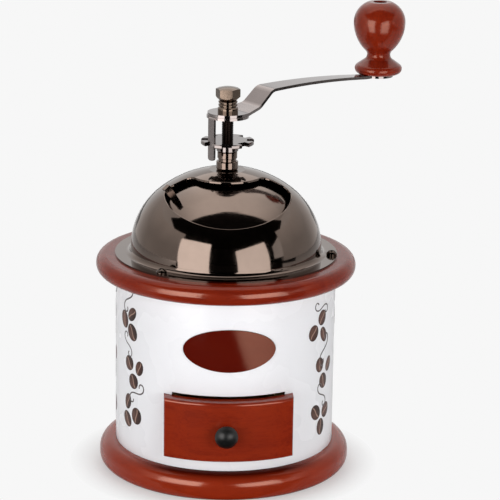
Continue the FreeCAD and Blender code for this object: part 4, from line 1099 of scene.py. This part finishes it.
def make_reflections(chosen):
    """What the mirror finish shows: two front boxes and a top box before a dark room, between grey walls."""
    dark, surface = new_material("Dark room")[:2]
    give(surface, {"Base Color": ROOM_BLACK, "Specular IOR Level": 0.0})
    for name, label, corners, strength in (("box_left", "Left box", BOX_LEFT, chosen.left_glow),
                                           ("box_right", "Right box", BOX_RIGHT, chosen.right_glow)):
        points = [toward(*corner) for corner in corners]
        card(name, [points[:2], points[2:]], glow(label, strength)[0])
    edge = [Vector((x, y, CEILING_HEIGHT)) for x, y in CEILING_EDGE]
    front = [Vector((x, CEILING_FRONT, CEILING_HEIGHT)) for x in CEILING_FRONT_X]
    back = [Vector((p.x, CEILING_BACK, CEILING_HEIGHT)) for p in edge[1:-1]]
    card("room_ceiling", [front, edge], dark)
    card("box_top", [edge[1:-1], back], top_light(chosen))
    rows = [[toward(a, e, ROOM_DISTANCE) for a in steps(ROOM_LEFT, right, ROOM_COLUMNS)]
            for e, right in ROOM_RIGHT]
    card("room_front", rows, dark)
    slopes = [math.tan(math.radians(a)) for a in steps(*CARD_AZIMUTHS)]
    rows = [[Vector((slope * -y, y, CARD_HEIGHT)) for slope in slopes] for y in CARD_FRONTS]
    card("room_floor", rows, dark)
    points = [Vector((x, y, CARD_HEIGHT)) for x, y in CARD_RIGHT]
    card("room_floor_right", [points[:2], points[2:]], dark)
    wall = wall_light(chosen)
    for name, azimuths in WALL_AZIMUTHS.items():
        rows = [[toward(a, e, WALL_DISTANCE) for a in steps(*azimuths)] for e in steps(*WALL_ELEVATIONS)]
        card(name, rows, wall)


# Camera, worked out for a square picture

CAMERA_PLACE = Vector((0.0, -1.1272, 0.4224))
CAMERA_PITCH, CAMERA_YAW, CAMERA_ROLL = 0.2707, 0.0105, 0.0155
CAMERA_FOCUS = 2360.9
PHOTO_SIDE = 500.0
SENSOR_WIDTH = 36.0
MILL_TURN = math.radians(2.5)


def make_camera():
    """Camera at the photograph's place, with its focus in pixels of the photograph."""
    ahead = Vector((math.sin(CAMERA_YAW) * math.cos(CAMERA_PITCH),
                    math.cos(CAMERA_YAW) * math.cos(CAMERA_PITCH), -math.sin(CAMERA_PITCH)))
    right = Vector((math.cos(CAMERA_YAW), -math.sin(CAMERA_YAW), 0.0))
    up = right.cross(ahead)
    across = math.cos(CAMERA_ROLL) * right + math.sin(CAMERA_ROLL) * up
    upward = math.cos(CAMERA_ROLL) * up - math.sin(CAMERA_ROLL) * right
    pose = Matrix((across, upward, -ahead)).transposed().to_4x4()
    pose.translation = CAMERA_PLACE
    lens = bpy.data.cameras.new("Camera")
    lens.sensor_width = SENSOR_WIDTH
    lens.lens = CAMERA_FOCUS * SENSOR_WIDTH / PHOTO_SIDE
    camera = bpy.data.objects.new("Camera", lens)
    camera.matrix_world = Matrix.Rotation(-MILL_TURN, 4, "Z") @ pose
    bpy.context.scene.collection.objects.link(camera)
    bpy.context.scene.camera = camera


# Panel and registration

OPERATORS = (MILL_OT_effects, MILL_OT_woodwork, MILL_OT_drum, MILL_OT_bean_print, MILL_OT_scroll_print,
             MILL_OT_hopper, MILL_OT_spindle, MILL_OT_crank, MILL_OT_spring, MILL_OT_drawer, MILL_OT_stage)
SETTINGS = (("mill_finish", MillFinish), ("mill_print", MillPrint), ("mill_thread", MillThread),
            ("mill_stage", MillStage))


class VIEW3D_PT_mill(bpy.types.Panel):
    """Settings and steps of the mill's looks"""
    bl_label = "Coffee mill"
    bl_space_type = "VIEW_3D"
    bl_region_type = "UI"
    bl_category = "Mill"

    def draw(self, context):
        for name, group in SETTINGS:
            part = self.layout.box()
            for key in group.__annotations__:
                part.prop(getattr(context.scene, name), key)
        for step in OPERATORS:
            self.layout.operator(step.bl_idname)


CLASSES = tuple(group for name, group in SETTINGS) + OPERATORS + (VIEW3D_PT_mill,)


def register():
    for item in CLASSES:
        bpy.utils.register_class(item)
    for name, group in SETTINGS:
        setattr(bpy.types.Scene, name, PointerProperty(type=group))


def unregister():
    for name, group in SETTINGS:
        delattr(bpy.types.Scene, name)
    for item in reversed(CLASSES):
        bpy.utils.unregister_class(item)


def main():
    register()
    bpy.ops.mill.effects()
    bpy.ops.mill.woodwork()
    bpy.ops.mill.drum()
    bpy.ops.mill.bean_print()
    bpy.ops.mill.scroll_print()
    bpy.ops.mill.hopper()
    bpy.ops.mill.spindle()
    bpy.ops.mill.crank()
    bpy.ops.mill.spring()
    bpy.ops.mill.drawer()
    bpy.ops.mill.stage()


if __name__ == "__main__":
    main()
